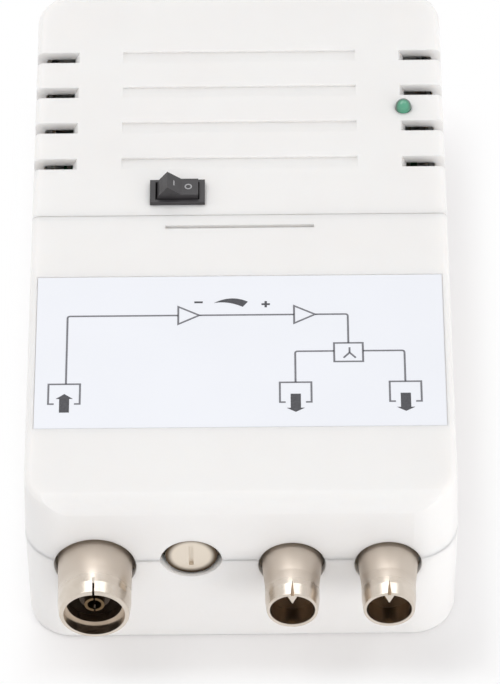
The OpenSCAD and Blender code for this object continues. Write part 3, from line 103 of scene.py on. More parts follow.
class Signal:
    """A shader socket that Python expressions extend: each operator adds one Math node."""

    def __init__(self, graph: "ShaderGraph", socket: bpy.types.NodeSocket) -> None:
        """Keeps the graph and the output socket that the expression starts from."""
        self.graph = graph
        self.socket = socket

    def _math(self, operation: str, first: Operand, second: Operand = 0.0) -> "Signal":
        """Adds a Math node and returns its output."""
        return self.graph.signal("ShaderNodeMath", {"operation": operation}, {0: first, 1: second})

    def __add__(self, other: Operand) -> "Signal":
        """Returns self + other."""
        return self._math("ADD", self, other)

    __radd__ = __add__

    def __sub__(self, other: Operand) -> "Signal":
        """Returns self - other."""
        return self._math("SUBTRACT", self, other)

    def __rsub__(self, other: Operand) -> "Signal":
        """Returns other - self."""
        return self._math("SUBTRACT", other, self)

    def __mul__(self, other: Operand) -> "Signal":
        """Returns self * other."""
        return self._math("MULTIPLY", self, other)

    __rmul__ = __mul__

    def __abs__(self) -> "Signal":
        """Returns the size of self without its sign."""
        return self._math("ABSOLUTE", self)

    def larger(self, other: Operand) -> "Signal":
        """Returns the larger of self and other."""
        return self._math("MAXIMUM", self, other)

    def smaller(self, other: Operand) -> "Signal":
        """Returns the smaller of self and other."""
        return self._math("MINIMUM", self, other)

    def repeat(self, period: float) -> "Signal":
        """Returns the share of the period that self is past its last whole multiple, from 0 to 1."""
        return self._math("FRACT", self._math("DIVIDE", self, period))

    def step(self, low: float, high: float) -> "Signal":
        """Returns 0 below low, 1 above high and a smooth rise between them."""
        sockets: Sockets = {"Value": self, "From Min": low, "From Max": high}
        return self.graph.signal("ShaderNodeMapRange", {"interpolation_type": "SMOOTHSTEP"}, sockets)


class ShaderGraph:
    """One node tree, with the few moves that the finishes are written in."""

    def __init__(self, tree: bpy.types.NodeTree) -> None:
        """Empties the tree, so that every node in it is one that a finish asked for."""
        self.tree = tree
        self.tree.nodes.clear()

    def node(self, kind: str, settings: Settings, sockets: Sockets) -> bpy.types.Node:
        """Adds a node, sets it up and joins its sockets.

        Args:
            kind: The node's type name.
            settings: The node's own properties, set first because they can change its sockets.
            sockets: A constant or a link for each input, by index or by name.

        Returns:
            The new node.
        """
        node = self.tree.nodes.new(kind)
        for name, value in settings.items():
            setattr(node, name, value)
        for key, value in sockets.items():
            source = value.socket if isinstance(value, Signal) else value
            if isinstance(source, bpy.types.NodeSocket):
                self.tree.links.new(source, node.inputs[key])
            else:
                node.inputs[key].default_value = source
        return node

    def signal(self, kind: str, settings: Settings, sockets: Sockets,
               output: Union[int, str] = 0) -> Signal:
        """Adds a node as node() does and returns one of its outputs as a Signal."""
        return Signal(self, self.node(kind, settings, sockets).outputs[output])

    def place(self) -> Signal:
        """Returns the point on the object, in metres in the part's frame."""
        return self.signal("ShaderNodeTexCoord", {}, {}, "Object")

    def scaled_place(self, scale: Sequence[float]) -> Signal:
        """Returns place() with each coordinate times a factor of its own."""
        return self.signal("ShaderNodeMapping", {}, {"Vector": self.place(), "Scale": scale})

    def along(self, axis: Axis) -> Signal:
        """Returns one coordinate of place(), in millimetres."""
        return self.signal("ShaderNodeSeparateXYZ", {}, {"Vector": self.place()}, axis) * (1.0 / MM)

    def ray(self, kind: Ray) -> Signal:
        """Returns 1 for rays of one kind and 0 for the others."""
        return self.signal("ShaderNodeLightPath", {}, {}, kind.value)

    def noise(self, pitch: float, stretch: Sequence[float], detail: float) -> Signal:
        """Returns cloudy noise from 0 to 1.

        Args:
            pitch: Size of one patch in millimetres.
            stretch: How often the pattern repeats along X, Y and Z, as factors.
            detail: Octaves of finer noise.

        Returns:
            The noise value.
        """
        point = self.scaled_place([factor / (pitch * MM) for factor in stretch])
        sockets: Sockets = {"Vector": point, "Scale": 1.0, "Detail": detail}
        return self.signal("ShaderNodeTexNoise", {}, sockets, "Fac")

    def blend(self, share: Signal, first: SocketValue, second: SocketValue) -> Signal:
        """Returns a colour that goes from first to second as share goes from 0 to 1."""
        # A Mix node's colour inputs are its sockets 6 and 7, and its colour output is 2.
        return self.signal("ShaderNodeMix", {"data_type": "RGBA"}, {0: share, 6: first, 7: second}, 2)

    def relief(self, height: Signal, depth: float) -> Signal:
        """Returns a normal bent by a height of 0 to 1 that stands for depth in millimetres."""
        return self.signal("ShaderNodeBump", {}, {"Height": height, "Distance": depth * MM, "Strength": 1.0})

    def shade(self, sockets: Sockets) -> None:
        """Ends the tree in a Principled shader with the given sockets."""
        shader = self.node("ShaderNodeBsdfPrincipled", {}, sockets)
        self.node("ShaderNodeOutputMaterial", {}, {"Surface": shader.outputs[0]})


@dataclass(frozen=True)
class Finish:
    """A plain material: a colour that drifts to a second one, with a fine grain in its gloss and relief."""

    name: str
    colour: Colour
    drift: Colour
    roughness: float = 0.45
    spread: float = 0.1
    grain: Grain = Grain.EVEN
    pitch: float = 0.4
    octaves: float = 3.0
    depth: float = 0.004
    patch: float = 9.0
    patch_octaves: float = 2.0
    patch_share: float = 0.7
    drift_band: Pair = (0.25, 0.75)
    metallic: float = 0.0
    coat: float = 0.0
    coat_rough: float = 0.15

    def base(self, graph: ShaderGraph, fine: Signal) -> Signal:
        """Works out the colour over the surface: wide soft patches with a trace of the fine grain.

        Args:
            graph: The material's node tree.
            fine: The grain, from 0 to 1.

        Returns:
            The colour.
        """
        wide = graph.noise(self.patch, Grain.EVEN.value, self.patch_octaves)
        share = wide * self.patch_share + fine * (1.0 - self.patch_share)
        return graph.blend(share.step(*self.drift_band), self.colour, self.drift)

    def gloss(self, graph: ShaderGraph, fine: Signal) -> Signal:
        """Returns the roughness over the surface: the grain about its mean."""
        return fine * self.spread + (self.roughness - self.spread / 2)

    def height(self, graph: ShaderGraph, fine: Signal) -> Signal:
        """Returns the height that bends the normal; here it is the grain itself."""
        return fine

    def extra(self) -> Sockets:
        """Returns the shader sockets that this finish alone sets."""
        return {}

    def material(self) -> bpy.types.Material:
        """Makes the material.

        Returns:
            A node material with varying colour, roughness and normal.
        """
        made = bpy.data.materials.new(self.name)
        made.use_nodes = True
        graph = ShaderGraph(made.node_tree)
        fine = graph.noise(self.pitch, self.grain.value, self.octaves)
        sockets: Sockets = {
            "Base Color": self.base(graph, fine),
            "Roughness": self.gloss(graph, fine),
            "Metallic": self.metallic,
            "Coat Weight": self.coat,
            "Coat Roughness": self.coat_rough,
            "Normal": graph.relief(self.height(graph, fine), self.depth),
        }
        sockets.update(self.extra())
        graph.shade(sockets)
        return made


@dataclass(frozen=True)
class MouldedFinish(Finish):
    """Moulded white plastic, in which light travels a few millimetres under the skin."""

    scatter: float = 0.7
    reach: float = 2.5
    channel_reach: tuple[float, float, float] = (1.0, 0.95, 0.9)

    def extra(self) -> Sockets:
        """Returns the scatter under the skin, the same all over."""
        return {"Subsurface Weight": self.scatter, "Subsurface Radius": self.channel_reach,
                "Subsurface Scale": self.reach * MM}


@dataclass(frozen=True)
class RubbedShadedFinish(Finish):
    """Plated metal that plugs have rubbed glossier at its nose and that is rougher towards its root, with
    its colour painted darker towards the root as painted shade.
    """

    dull: float = 0.41
    # The root's darker colour is painted shade; the rise in roughness towards the root is the rub wear.
    root: Colour = display(206, 195, 183)
    wear_and_shade: Pair = (-71.4, -68.8)

    def base(self, graph: ShaderGraph, fine: Signal) -> Signal:
        """Returns the plain colour at the nose, which goes along Y to the root's darker colour, a painted
        shade.
        """
        return graph.blend(graph.along(Axis.Y).step(*self.wear_and_shade), super().base(graph, fine), self.root)

    def gloss(self, graph: ShaderGraph, fine: Signal) -> Signal:
        """Returns the roughness, which rises along Y from the rubbed nose back to the root."""
        rise = graph.along(Axis.Y).step(*self.wear_and_shade) * (self.dull - self.roughness)
        return super().gloss(graph, fine) + rise


@dataclass(frozen=True)
class RoundFinish(Finish):
    """A finish that goes from its first colour at an axis to its second one at a rim."""

    axes: tuple[Axis, Axis] = (Axis.X, Axis.Y)
    centre: Pair = (0.0, 0.0)
    band: Pair = (0.5, 1.5)
    waver: float = 0.5

    def base(self, graph: ShaderGraph, fine: Signal) -> Signal:
        """Works out the colour by the square of the distance from the axis, with a trace of the grain in it.

        Args:
            graph: The material's node tree.
            fine: The grain, from 0 to 1.

        Returns:
            The colour.
        """
        first, second = (graph.along(axis) - middle for axis, middle in zip(self.axes, self.centre))
        square = first * first + second * second + (fine - MIDDLE) * self.waver
        return graph.blend(square.step(self.band[0] ** 2, self.band[1] ** 2), self.colour, self.drift)


@dataclass(frozen=True)
class BoardFinish(Finish):
    """A circuit board: lacquer over a network of tracks, with round lands of bare metal."""

    track: Colour = display(54, 122, 76)
    track_patch: float = 5.0
    track_period: float = 0.16
    track_band: Pair = (0.1, 0.16)
    land: Colour = display(196, 190, 178)
    land_pitch: float = 2.54
    land_scatter: float = 0.35
    land_band: Pair = (0.2, 0.24)

    def base(self, graph: ShaderGraph, fine: Signal) -> Signal:
        """Works out lacquer with tracks and lands on it.

        A wide noise is cut into steps, and a track follows the middle of each step. A land is the disc
        round the point of each cell of a loose grid.

        Args:
            graph: The material's node tree.
            fine: The grain, from 0 to 1.

        Returns:
            The colour.
        """
        course = graph.noise(self.track_patch, (1.0, 1.0, 0.0), 0.0)
        track = 1.0 - abs(course.repeat(self.track_period) - MIDDLE).step(*self.track_band)
        per_land = 1.0 / (self.land_pitch * MM)
        grid: Sockets = {"Vector": graph.scaled_place((per_land, per_land, 0.0)), "Scale": 1.0,
                         "Randomness": self.land_scatter}
        land = 1.0 - graph.signal("ShaderNodeTexVoronoi", {}, grid).step(*self.land_band)
        lacquer = graph.blend(fine, self.colour, self.drift)
        return graph.blend(land, graph.blend(track, lacquer, self.track), self.land)


@dataclass(frozen=True)
class LayeredFinish(Finish):
    """A stack or wrap: thin layers that repeat along one axis, with dark lines between them."""

    axis: Axis = Axis.Z
    period: float = 0.5
    line: float = 0.16
    waver: float = 0.06
    crown_top: float = 0.6
    grain_share: float = 0.2

    def off_middle(self, graph: ShaderGraph) -> Signal:
        """Returns how far a point lies from the middle of its layer, from 0 to half a period."""
        return abs(graph.along(self.axis).repeat(self.period) - MIDDLE)

    def base(self, graph: ShaderGraph, fine: Signal) -> Signal:
        """Returns the layer colour, darkened to the second colour in the line at each period."""
        share = self.off_middle(graph) + (fine - MIDDLE) * self.waver
        return graph.blend(share.step(MIDDLE - self.line, MIDDLE), self.colour, self.drift)

    def height(self, graph: ShaderGraph, fine: Signal) -> Signal:
        """Returns the layers' rounded backs with the grain on them."""
        crown = 1.0 - self.off_middle(graph) * 2.0
        return crown.smaller(self.crown_top) + fine * self.grain_share


@dataclass(frozen=True)
class SleeveFinish(Finish):
    """A shrunk sleeve with one pale stripe down the side that faces lower X."""

    edge: float = -27.4
    blur: float = 0.1
    stripe: Colour = (0.62, 0.62, 0.6, 1.0)

    def base(self, graph: ShaderGraph, fine: Signal) -> Signal:
        """Returns the sleeve's colour, with the stripe where X is below the edge."""
        stripe = 1.0 - graph.along(Axis.X).step(self.edge - self.blur, self.edge + self.blur)
        return graph.blend(stripe, graph.blend(fine, self.colour, self.drift), self.stripe)


@dataclass(frozen=True)
class GlassFinish(Finish):
    """A clear glass tube with faint drawn streaks."""

    clear: float = 0.9
    refraction: float = 1.5

    def extra(self) -> Sockets:
        """Returns the share of light that passes and how far the glass bends it, the same all over."""
        return {"Transmission Weight": self.clear, "IOR": self.refraction}


@dataclass
class Solid:
    """Points in millimetres and the faces over them."""

    points: np.ndarray
    faces: list[list[int]]

    @staticmethod
    def joined(solids: Sequence["Solid"]) -> "Solid":
        """Puts several solids in one list of points, with each one's faces moved on past those before it.

        Args:
            solids: The solids, in order.

        Returns:
            One solid that holds them all.
        """
        starts = np.cumsum([0] + [len(solid.points) for solid in solids[:-1]])
        faces = [[index + int(start) for index in face]
                 for solid, start in zip(solids, starts) for face in solid.faces]
        return Solid(np.concatenate([solid.points for solid in solids]), faces)

    def placed(self, origin: Sequence[float], across: Sequence[float], up: Sequence[float],
               out: Sequence[float]) -> "Solid":
        """Moves the solid so that its X, Y and Z run along three given directions from an origin.

        Args:
            origin: Where the solid's zero goes, in millimetres.
            across: Direction of its X.
            up: Direction of its Y.
            out: Direction of its Z.

        Returns:
            The moved solid: origin + x across + y up + z out.
        """
        return Solid(np.asarray(origin) + self.points @ np.array([across, up, out], float), self.faces)

    def piece(self, name: str, smooth: bool) -> bpy.types.Object:
        """Puts the solid into a mesh object at the origin.

        Args:
            name: The piece's name.
            smooth: Whether its faces are shaded as one curved surface.

        Returns:
            The new object, in metres.
        """
        mesh = bpy.data.meshes.new(name)
        mesh.from_pydata((self.points * MM).tolist(), [], self.faces)
        mesh.polygons.foreach_set("use_smooth", np.full(len(mesh.polygons), smooth))
        mesh.update()
        made = bpy.data.objects.new(name, mesh)
        bpy.context.scene.collection.objects.link(made)
        return made


def ring_faces(rings: int, count: int, closed: bool) -> list[list[int]]:
    """Lists the quads between rings of points that follow each other along a path.

    Point k of ring i has the index i times count plus k, and each quad joins k and k + 1 of two rings.

    Args:
        rings: Number of rings.
        count: Points in a ring.
        closed: Whether the last ring joins the first one.

    Returns:
        The quads, with their fronts outwards where a ring runs anticlockwise seen along the path.
    """
    here = np.arange(rings if closed else rings - 1)[:, None] * count
    there = (here + count) % (rings * count)
    k = np.arange(count)[None, :]
    after = (k + 1) % count
    return np.stack([here + k, there + k, there + after, here + after], axis=-1).reshape(-1, 4).tolist()


def bar_along(path: np.ndarray, width: float, low: float, high: float, closed: bool = False) -> Solid:
    """Carries a flat oblong profile along a line on the XY plane, with mitred corners.

    At each point the sides lie at half the width along the sum of the two neighbours' normals,
    divided by one plus the cosine of their turn, so that the width holds through a corner.

    Args:
        path: Points of the line, two numbers each.
        width: Width of the bar.
        low: Height of its lower face.
        high: Height of its upper face.
        closed: Whether the line returns to its start.

    Returns:
        The closed bar.
    """
    step = np.diff(np.vstack([path, path[:1]]) if closed else path, axis=0)
    step /= np.linalg.norm(step, axis=1, keepdims=True)
    normal = np.stack([-step[:, 1], step[:, 0]], axis=1)
    before = np.roll(normal, 1, axis=0) if closed else np.vstack([normal[:1], normal])
    after = normal if closed else np.vstack([normal, normal[-1:]])
    side = (before + after) / (1.0 + np.sum(before * after, axis=1, keepdims=True)) * (width / 2)
    left, right = path + side, path - side
    flat = np.stack([left, right, right, left], axis=1)
    profile = np.array([low, low, high, high])
    height = np.broadcast_to(profile[None, :, None], (len(path), len(profile), 1))
    points = np.concatenate([flat, height], axis=2).reshape(-1, 3)
    faces = ring_faces(len(path), len(profile), closed)
    if not closed:
        last = len(profile) * (len(path) - 1)
        faces += [[0, 1, 2, 3], [last + 3, last + 2, last + 1, last]]
    return Solid(points, faces)


def plate_over(outline: np.ndarray, low: float, high: float) -> Solid:
    """Raises an anticlockwise outline on the XY plane into a plate.

    The points are the outline at two heights. A wall joins each one to the next, and two faces close it.

    Args:
        outline: The outline's points, two numbers each.
        low: Height of the lower face.
        high: Height of the upper face.

    Returns:
        The closed plate.
    """
    count = len(outline)
    points = np.vstack([np.column_stack([outline, np.full(count, z)]) for z in (low, high)])
    here = np.arange(count)
    after = (here + 1) % count
    sides = np.stack([here, after, after + count, here + count], axis=1).tolist()
    return Solid(points, sides + [here[::-1].tolist(), (here + count).tolist()])


def bend(start: Sequence[float], pull: Sequence[float], end: Sequence[float], count: int) -> np.ndarray:
    """Returns points on a quadratic curve: (1-t)^2 start + 2 t (1-t) pull + t^2 end for t from 0 to 1."""
    t = np.linspace(0.0, 1.0, count)[:, None]
    return (1 - t) ** 2 * np.asarray(start) + 2 * t * (1 - t) * np.asarray(pull) + t ** 2 * np.asarray(end)


def rounded_line(corners: Sequence[Sequence[float]], radius: float, count: int = 6) -> np.ndarray:
    """Rounds a line's corners: each becomes a quadratic curve that starts and ends a radius away from it.

    Args:
        corners: The line's points, two numbers each.
        radius: How far from a corner its rounding starts.
        count: Points in each rounding.

    Returns:
        The points of the rounded line.
    """
    at = np.asarray(corners, float)
    way = np.diff(at, axis=0)
    way /= np.linalg.norm(way, axis=1, keepdims=True)
    turns = [bend(p - a * radius, p, p + b * radius, count) for p, a, b in zip(at[1:-1], way[:-1], way[1:])]
    return np.vstack([at[:1], *turns, at[-1:]])


@dataclass(frozen=True)
class CrossHead:
    """A pan screw head with a cross recess, in millimetres, and the grid that it is worked out on."""

    radius: float = 2.6
    height: float = 0.75
    arm: float = 1.55
    half: float = 0.36
    depth: float = 0.6
    soft: float = 0.1
    hub: float = 0.04
    rings: int = 30
    spokes: int = 96

    def inside(self, value: np.ndarray, limit: float) -> np.ndarray:
        """Falls from 1 to 0 as a value's size passes a limit: t t (3 - 2 t), with t from 1 to 0 over soft.

        Args:
            value: Distances from the middle of an arm.
            limit: The arm's reach or half width.

        Returns:
            The falls.
        """
        t = np.clip((limit + self.soft / 2 - np.abs(value)) / self.soft, 0.0, 1.0)
        return t * t * (3 - 2 * t)

    def solid(self) -> Solid:
        """Works out the head as a height over a polar grid.

        The crown is height times the fourth root of 1 - (r / radius)^4. The recess takes depth off it,
        times the larger of two bars' masks, and a bar's mask is the product of its falls along and across.

        Returns:
            The closed head, with its foot at height 0.
        """
        share = np.linspace(self.hub, 1.0, self.rings)[:, None]
        turn = np.linspace(0.0, 2 * np.pi, self.spokes, endpoint=False)[None, :]
        x, y = share * self.radius * np.cos(turn), share * self.radius * np.sin(turn)
        mask = np.maximum(self.inside(x, self.arm) * self.inside(y, self.half),
                          self.inside(y, self.arm) * self.inside(x, self.half))
        z = self.height * np.clip(1 - share ** 4, 0.0, 1.0) ** 0.25 - self.depth * mask
        rows = np.stack([x, y, np.broadcast_to(z, x.shape)], axis=-1)
        poles = [[0.0, 0.0, self.height - self.depth], [0.0, 0.0, 0.0]]
        points = np.vstack([rows[::-1].reshape(-1, 3), poles])
        top = self.rings * self.spokes
        last = top - self.spokes
        k = np.arange(self.spokes)
        after = (k + 1) % self.spokes
        quads = [face[::-1] for face in ring_faces(self.rings, self.spokes, False)]
        fan = np.stack([last + k, last + after, np.full_like(k, top)], axis=1).tolist()
        base = np.stack([after, k, np.full_like(k, top + 1)], axis=1).tolist()
        return Solid(points, quads + fan + base)


def dress(names: Sequence[str], finish: Finish) -> None:
    """Gives CAD nodes one finish.

    Args:
        names: The nodes.
        finish: What they are made of.
    """
    made = finish.material()
    for name in names:
        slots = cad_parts[name].data.materials
        slots.clear()
        slots.append(made)
        LOG.info("dressed %s in %s", name, finish.name)


def carry(piece: bpy.types.Object, body: str, finish: Finish) -> None:
    """Dresses a new piece and lets it ride on a body.

    Args:
        piece: The piece, in place.
        body: The CAD body that it moves with.
        finish: What it is made of.
    """
    piece.data.materials.append(finish.material())
    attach(piece, body)
    LOG.info("built %s with %d faces on %s", piece.name, len(piece.data.polygons), body)


WHITE_PLASTIC = MouldedFinish(
    "white_plastic", display(241, 239, 237), display(239, 236, 234), roughness=0.42, pitch=0.35,
    depth=0.006, patch=14.0)
LABEL_FILM = Finish(
    "label_film", display(236, 238, 244), display(234, 236, 242), roughness=0.34, spread=0.08, pitch=0.25,
    depth=0.002, patch=18.0)
LINE_INK = Finish(
    "line_ink", display(104, 104, 110), display(120, 120, 126), roughness=0.5, pitch=0.12, depth=0.002,
    patch=0.5)
SIGN_INK = Finish(
    "sign_ink", display(58, 58, 63), display(74, 74, 79), roughness=0.5, pitch=0.12, depth=0.002, patch=0.5)
MARK_INK = Finish(
    "mark_ink", display(172, 172, 174), display(150, 150, 152), roughness=0.5, pitch=0.1, depth=0.002,
    patch=0.4)
BLACK_PLASTIC = Finish(
    "black_plastic", display(52, 50, 52), display(62, 60, 62), roughness=0.4, spread=0.16, pitch=0.18,
    depth=0.006, patch=3.0)
GLAND_PLASTIC = Finish(
    "gland_plastic", display(232, 230, 227), display(227, 224, 220), roughness=0.5, pitch=0.3, depth=0.006)
# The barrels' colour darkens towards their root as painted shade.
NICKEL = RubbedShadedFinish(
    "nickel_barrel", display(219, 209, 198), display(208, 197, 184), roughness=0.24, spread=0.12,
    grain=Grain.TURNED_Y, pitch=0.12, depth=0.0012, patch=3.0, metallic=1.0)
TIN_PLATE = Finish(
    "tin_plate", display(216, 211, 203), display(200, 194, 185), roughness=0.32, spread=0.16,
    grain=Grain.ROLLED_X, pitch=0.2, depth=0.002, patch=4.0, metallic=1.0)
CONTACT_METAL = Finish(
    "contact_metal", display(122, 101, 75), display(102, 83, 60), roughness=0.36, spread=0.14,
    grain=Grain.TURNED_Y, pitch=0.1, depth=0.001, patch=1.5, metallic=1.0)
PIN_METAL = Finish(
    "pin_metal", display(196, 192, 186), display(176, 171, 164), roughness=0.35, pitch=0.1, depth=0.001,
    metallic=1.0)
SCREW_STEEL = Finish(
    "screw_steel", display(186, 186, 184), display(164, 163, 160), roughness=0.33, spread=0.14, pitch=0.15,
    depth=0.002, patch=1.5, metallic=1.0)
INSULATOR = Finish("insulator_plastic", display(78, 62, 47), display(66, 52, 39), roughness=0.5, pitch=0.2)
PALE_INSULATOR = Finish(
    "pale_insulator", display(246, 216, 182), display(234, 203, 168), roughness=0.5, pitch=0.2)
# The disc goes from a pale centre to dark brown at its rim. The dark rim is painted shade, standing in for
# the shadow in the gap round the disc.
ADJUSTER_DISC = RoundFinish(
    "adjuster_disc", display(230, 219, 204), display(84, 68, 50), roughness=0.38, spread=0.12, pitch=0.3,
    depth=0.002, metallic=0.7, axes=(Axis.X, Axis.Z), centre=(-8.8, 21.2), band=(3.1, 4.3))
ADJUSTER = Finish("adjuster_plastic", display(44, 70, 116), display(38, 60, 100), roughness=0.42, pitch=0.2)
BOARD = BoardFinish("board", display(38, 92, 58), display(34, 84, 54), roughness=0.35, pitch=0.3)
DARK_COMPONENT = Finish(
    "dark_component", display(38, 38, 39), display(48, 47, 47), roughness=0.55, pitch=0.15, depth=0.006)
FERRITE = Finish("ferrite", display(52, 50, 49), display(64, 62, 60), roughness=0.7, pitch=0.12, depth=0.01)
CERAMIC = Finish(
    "ceramic_body", display(190, 122, 62), display(174, 108, 52), roughness=0.4, pitch=0.3, depth=0.008)
RESISTOR = LayeredFinish(
    "resistor_body", display(203, 178, 138), display(110, 62, 40), roughness=0.4, pitch=0.2, depth=0.006,
    axis=Axis.X, period=1.3, line=0.2)
CORE_IRON = LayeredFinish(
    "core_iron", display(128, 126, 124), display(70, 66, 62), roughness=0.45, spread=0.2, pitch=0.2,
    depth=0.03, metallic=0.9, axis=Axis.Y, period=0.5, line=0.12)
BOBBIN = Finish(
    "bobbin_plastic", display(225, 220, 205), display(214, 208, 190), roughness=0.5, pitch=0.3, depth=0.006)
WINDING_TAPE = LayeredFinish(
    "winding_tape", display(222, 176, 62), display(168, 126, 40), roughness=0.3, depth=0.04, axis=Axis.Z,
    period=2.2, line=0.05, coat=0.4)
SLEEVE = SleeveFinish(
    "capacitor_sleeve", display(28, 34, 62), display(34, 42, 74), roughness=0.35, depth=0.006)
FUSE_GLASS = GlassFinish(
    "fuse_glass", display(240, 244, 244), display(230, 238, 238), roughness=0.08, spread=0.06,
    grain=Grain.ROLLED_X, pitch=0.3, depth=0.002)
BLOCK = Finish("block_plastic", display(52, 120, 78), display(46, 108, 70), pitch=0.3, depth=0.006)
BLUE_LEAD = Finish(
    "blue_lead", display(44, 84, 160), display(38, 74, 146), roughness=0.4, pitch=0.2, depth=0.006)
RED_LEAD = Finish(
    "red_lead", display(176, 40, 36), display(158, 34, 32), roughness=0.4, pitch=0.2, depth=0.006)


@dataclass
class Housing:
    """The moulded case: rear shell and two covers, its screws and the cord gland."""

    head: CrossHead = CrossHead()
    facing_down: tuple[tuple[int, int, int], ...] = ((1, 0, 0), (0, -1, 0), (0, 0, -1))

    def screw_places(self, node: str) -> np.ndarray:
        """Finds the axes of four screws in one node.

        Each screw lies in its own quarter of the node's box. Its axis is the middle of the points there.

        Args:
            node: The node that holds the screws.

        Returns:
            Four points on the XY plane, in millimetres.
        """
        low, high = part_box(node)
        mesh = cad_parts[node].data
        flat = np.empty(len(mesh.vertices) * 3)
        mesh.vertices.foreach_get("co", flat)
        points = flat.reshape(-1, 3) / MM
        middle = (np.array(low) + np.array(high)) / 2 / MM
        quarter = (points[:, 0] > middle[0]) * 2 + (points[:, 1] > middle[1])
        picks = [points[quarter == index] for index in range(4)]
        return np.array([(pick.min(0) + pick.max(0))[:2] / 2 for pick in picks])

    def build_screw_heads(self) -> None:
        """Builds the crowned, cross-cut heads on the case screws, which face the wall."""
        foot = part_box("case_screws")[0].z / MM
        head = self.head.solid()
        heads = [head.placed((x, y, foot), *self.facing_down) for x, y in self.screw_places("case_screws")]
        carry(Solid.joined(heads).piece("case_screw_heads", True), "housing", SCREW_STEEL)

    def dress(self) -> None:
        """Dresses the mouldings, screws and gland."""
        dress(["rear_shell", "upper_cover", "lower_cover"], WHITE_PLASTIC)
        dress(["case_screws", "board_screws"], SCREW_STEEL)
        dress(["cord_grommet"], GLAND_PLASTIC)


@dataclass(frozen=True)
class ArrowSign:
    """A filled arrow along Y: where its tail, neck and tip lie, and half the widths of shaft and head."""

    tail: float
    neck: float
    tip: float
    half: float
    wing: float

    def outline(self, x: float) -> np.ndarray:
        """Lists the arrow's corners anticlockwise.

        Args:
            x: Its middle line.

        Returns:
            Seven points on the XY plane, in millimetres.
        """
        across = np.array([-self.half, self.half, self.half, self.wing, 0.0, -self.wing, -self.half])
        along = [self.tail, self.tail, self.neck, self.neck, self.tip, self.neck, self.neck]
        corners = np.column_stack([x + across, along])
        return corners if self.tip > self.tail else corners[::-1]


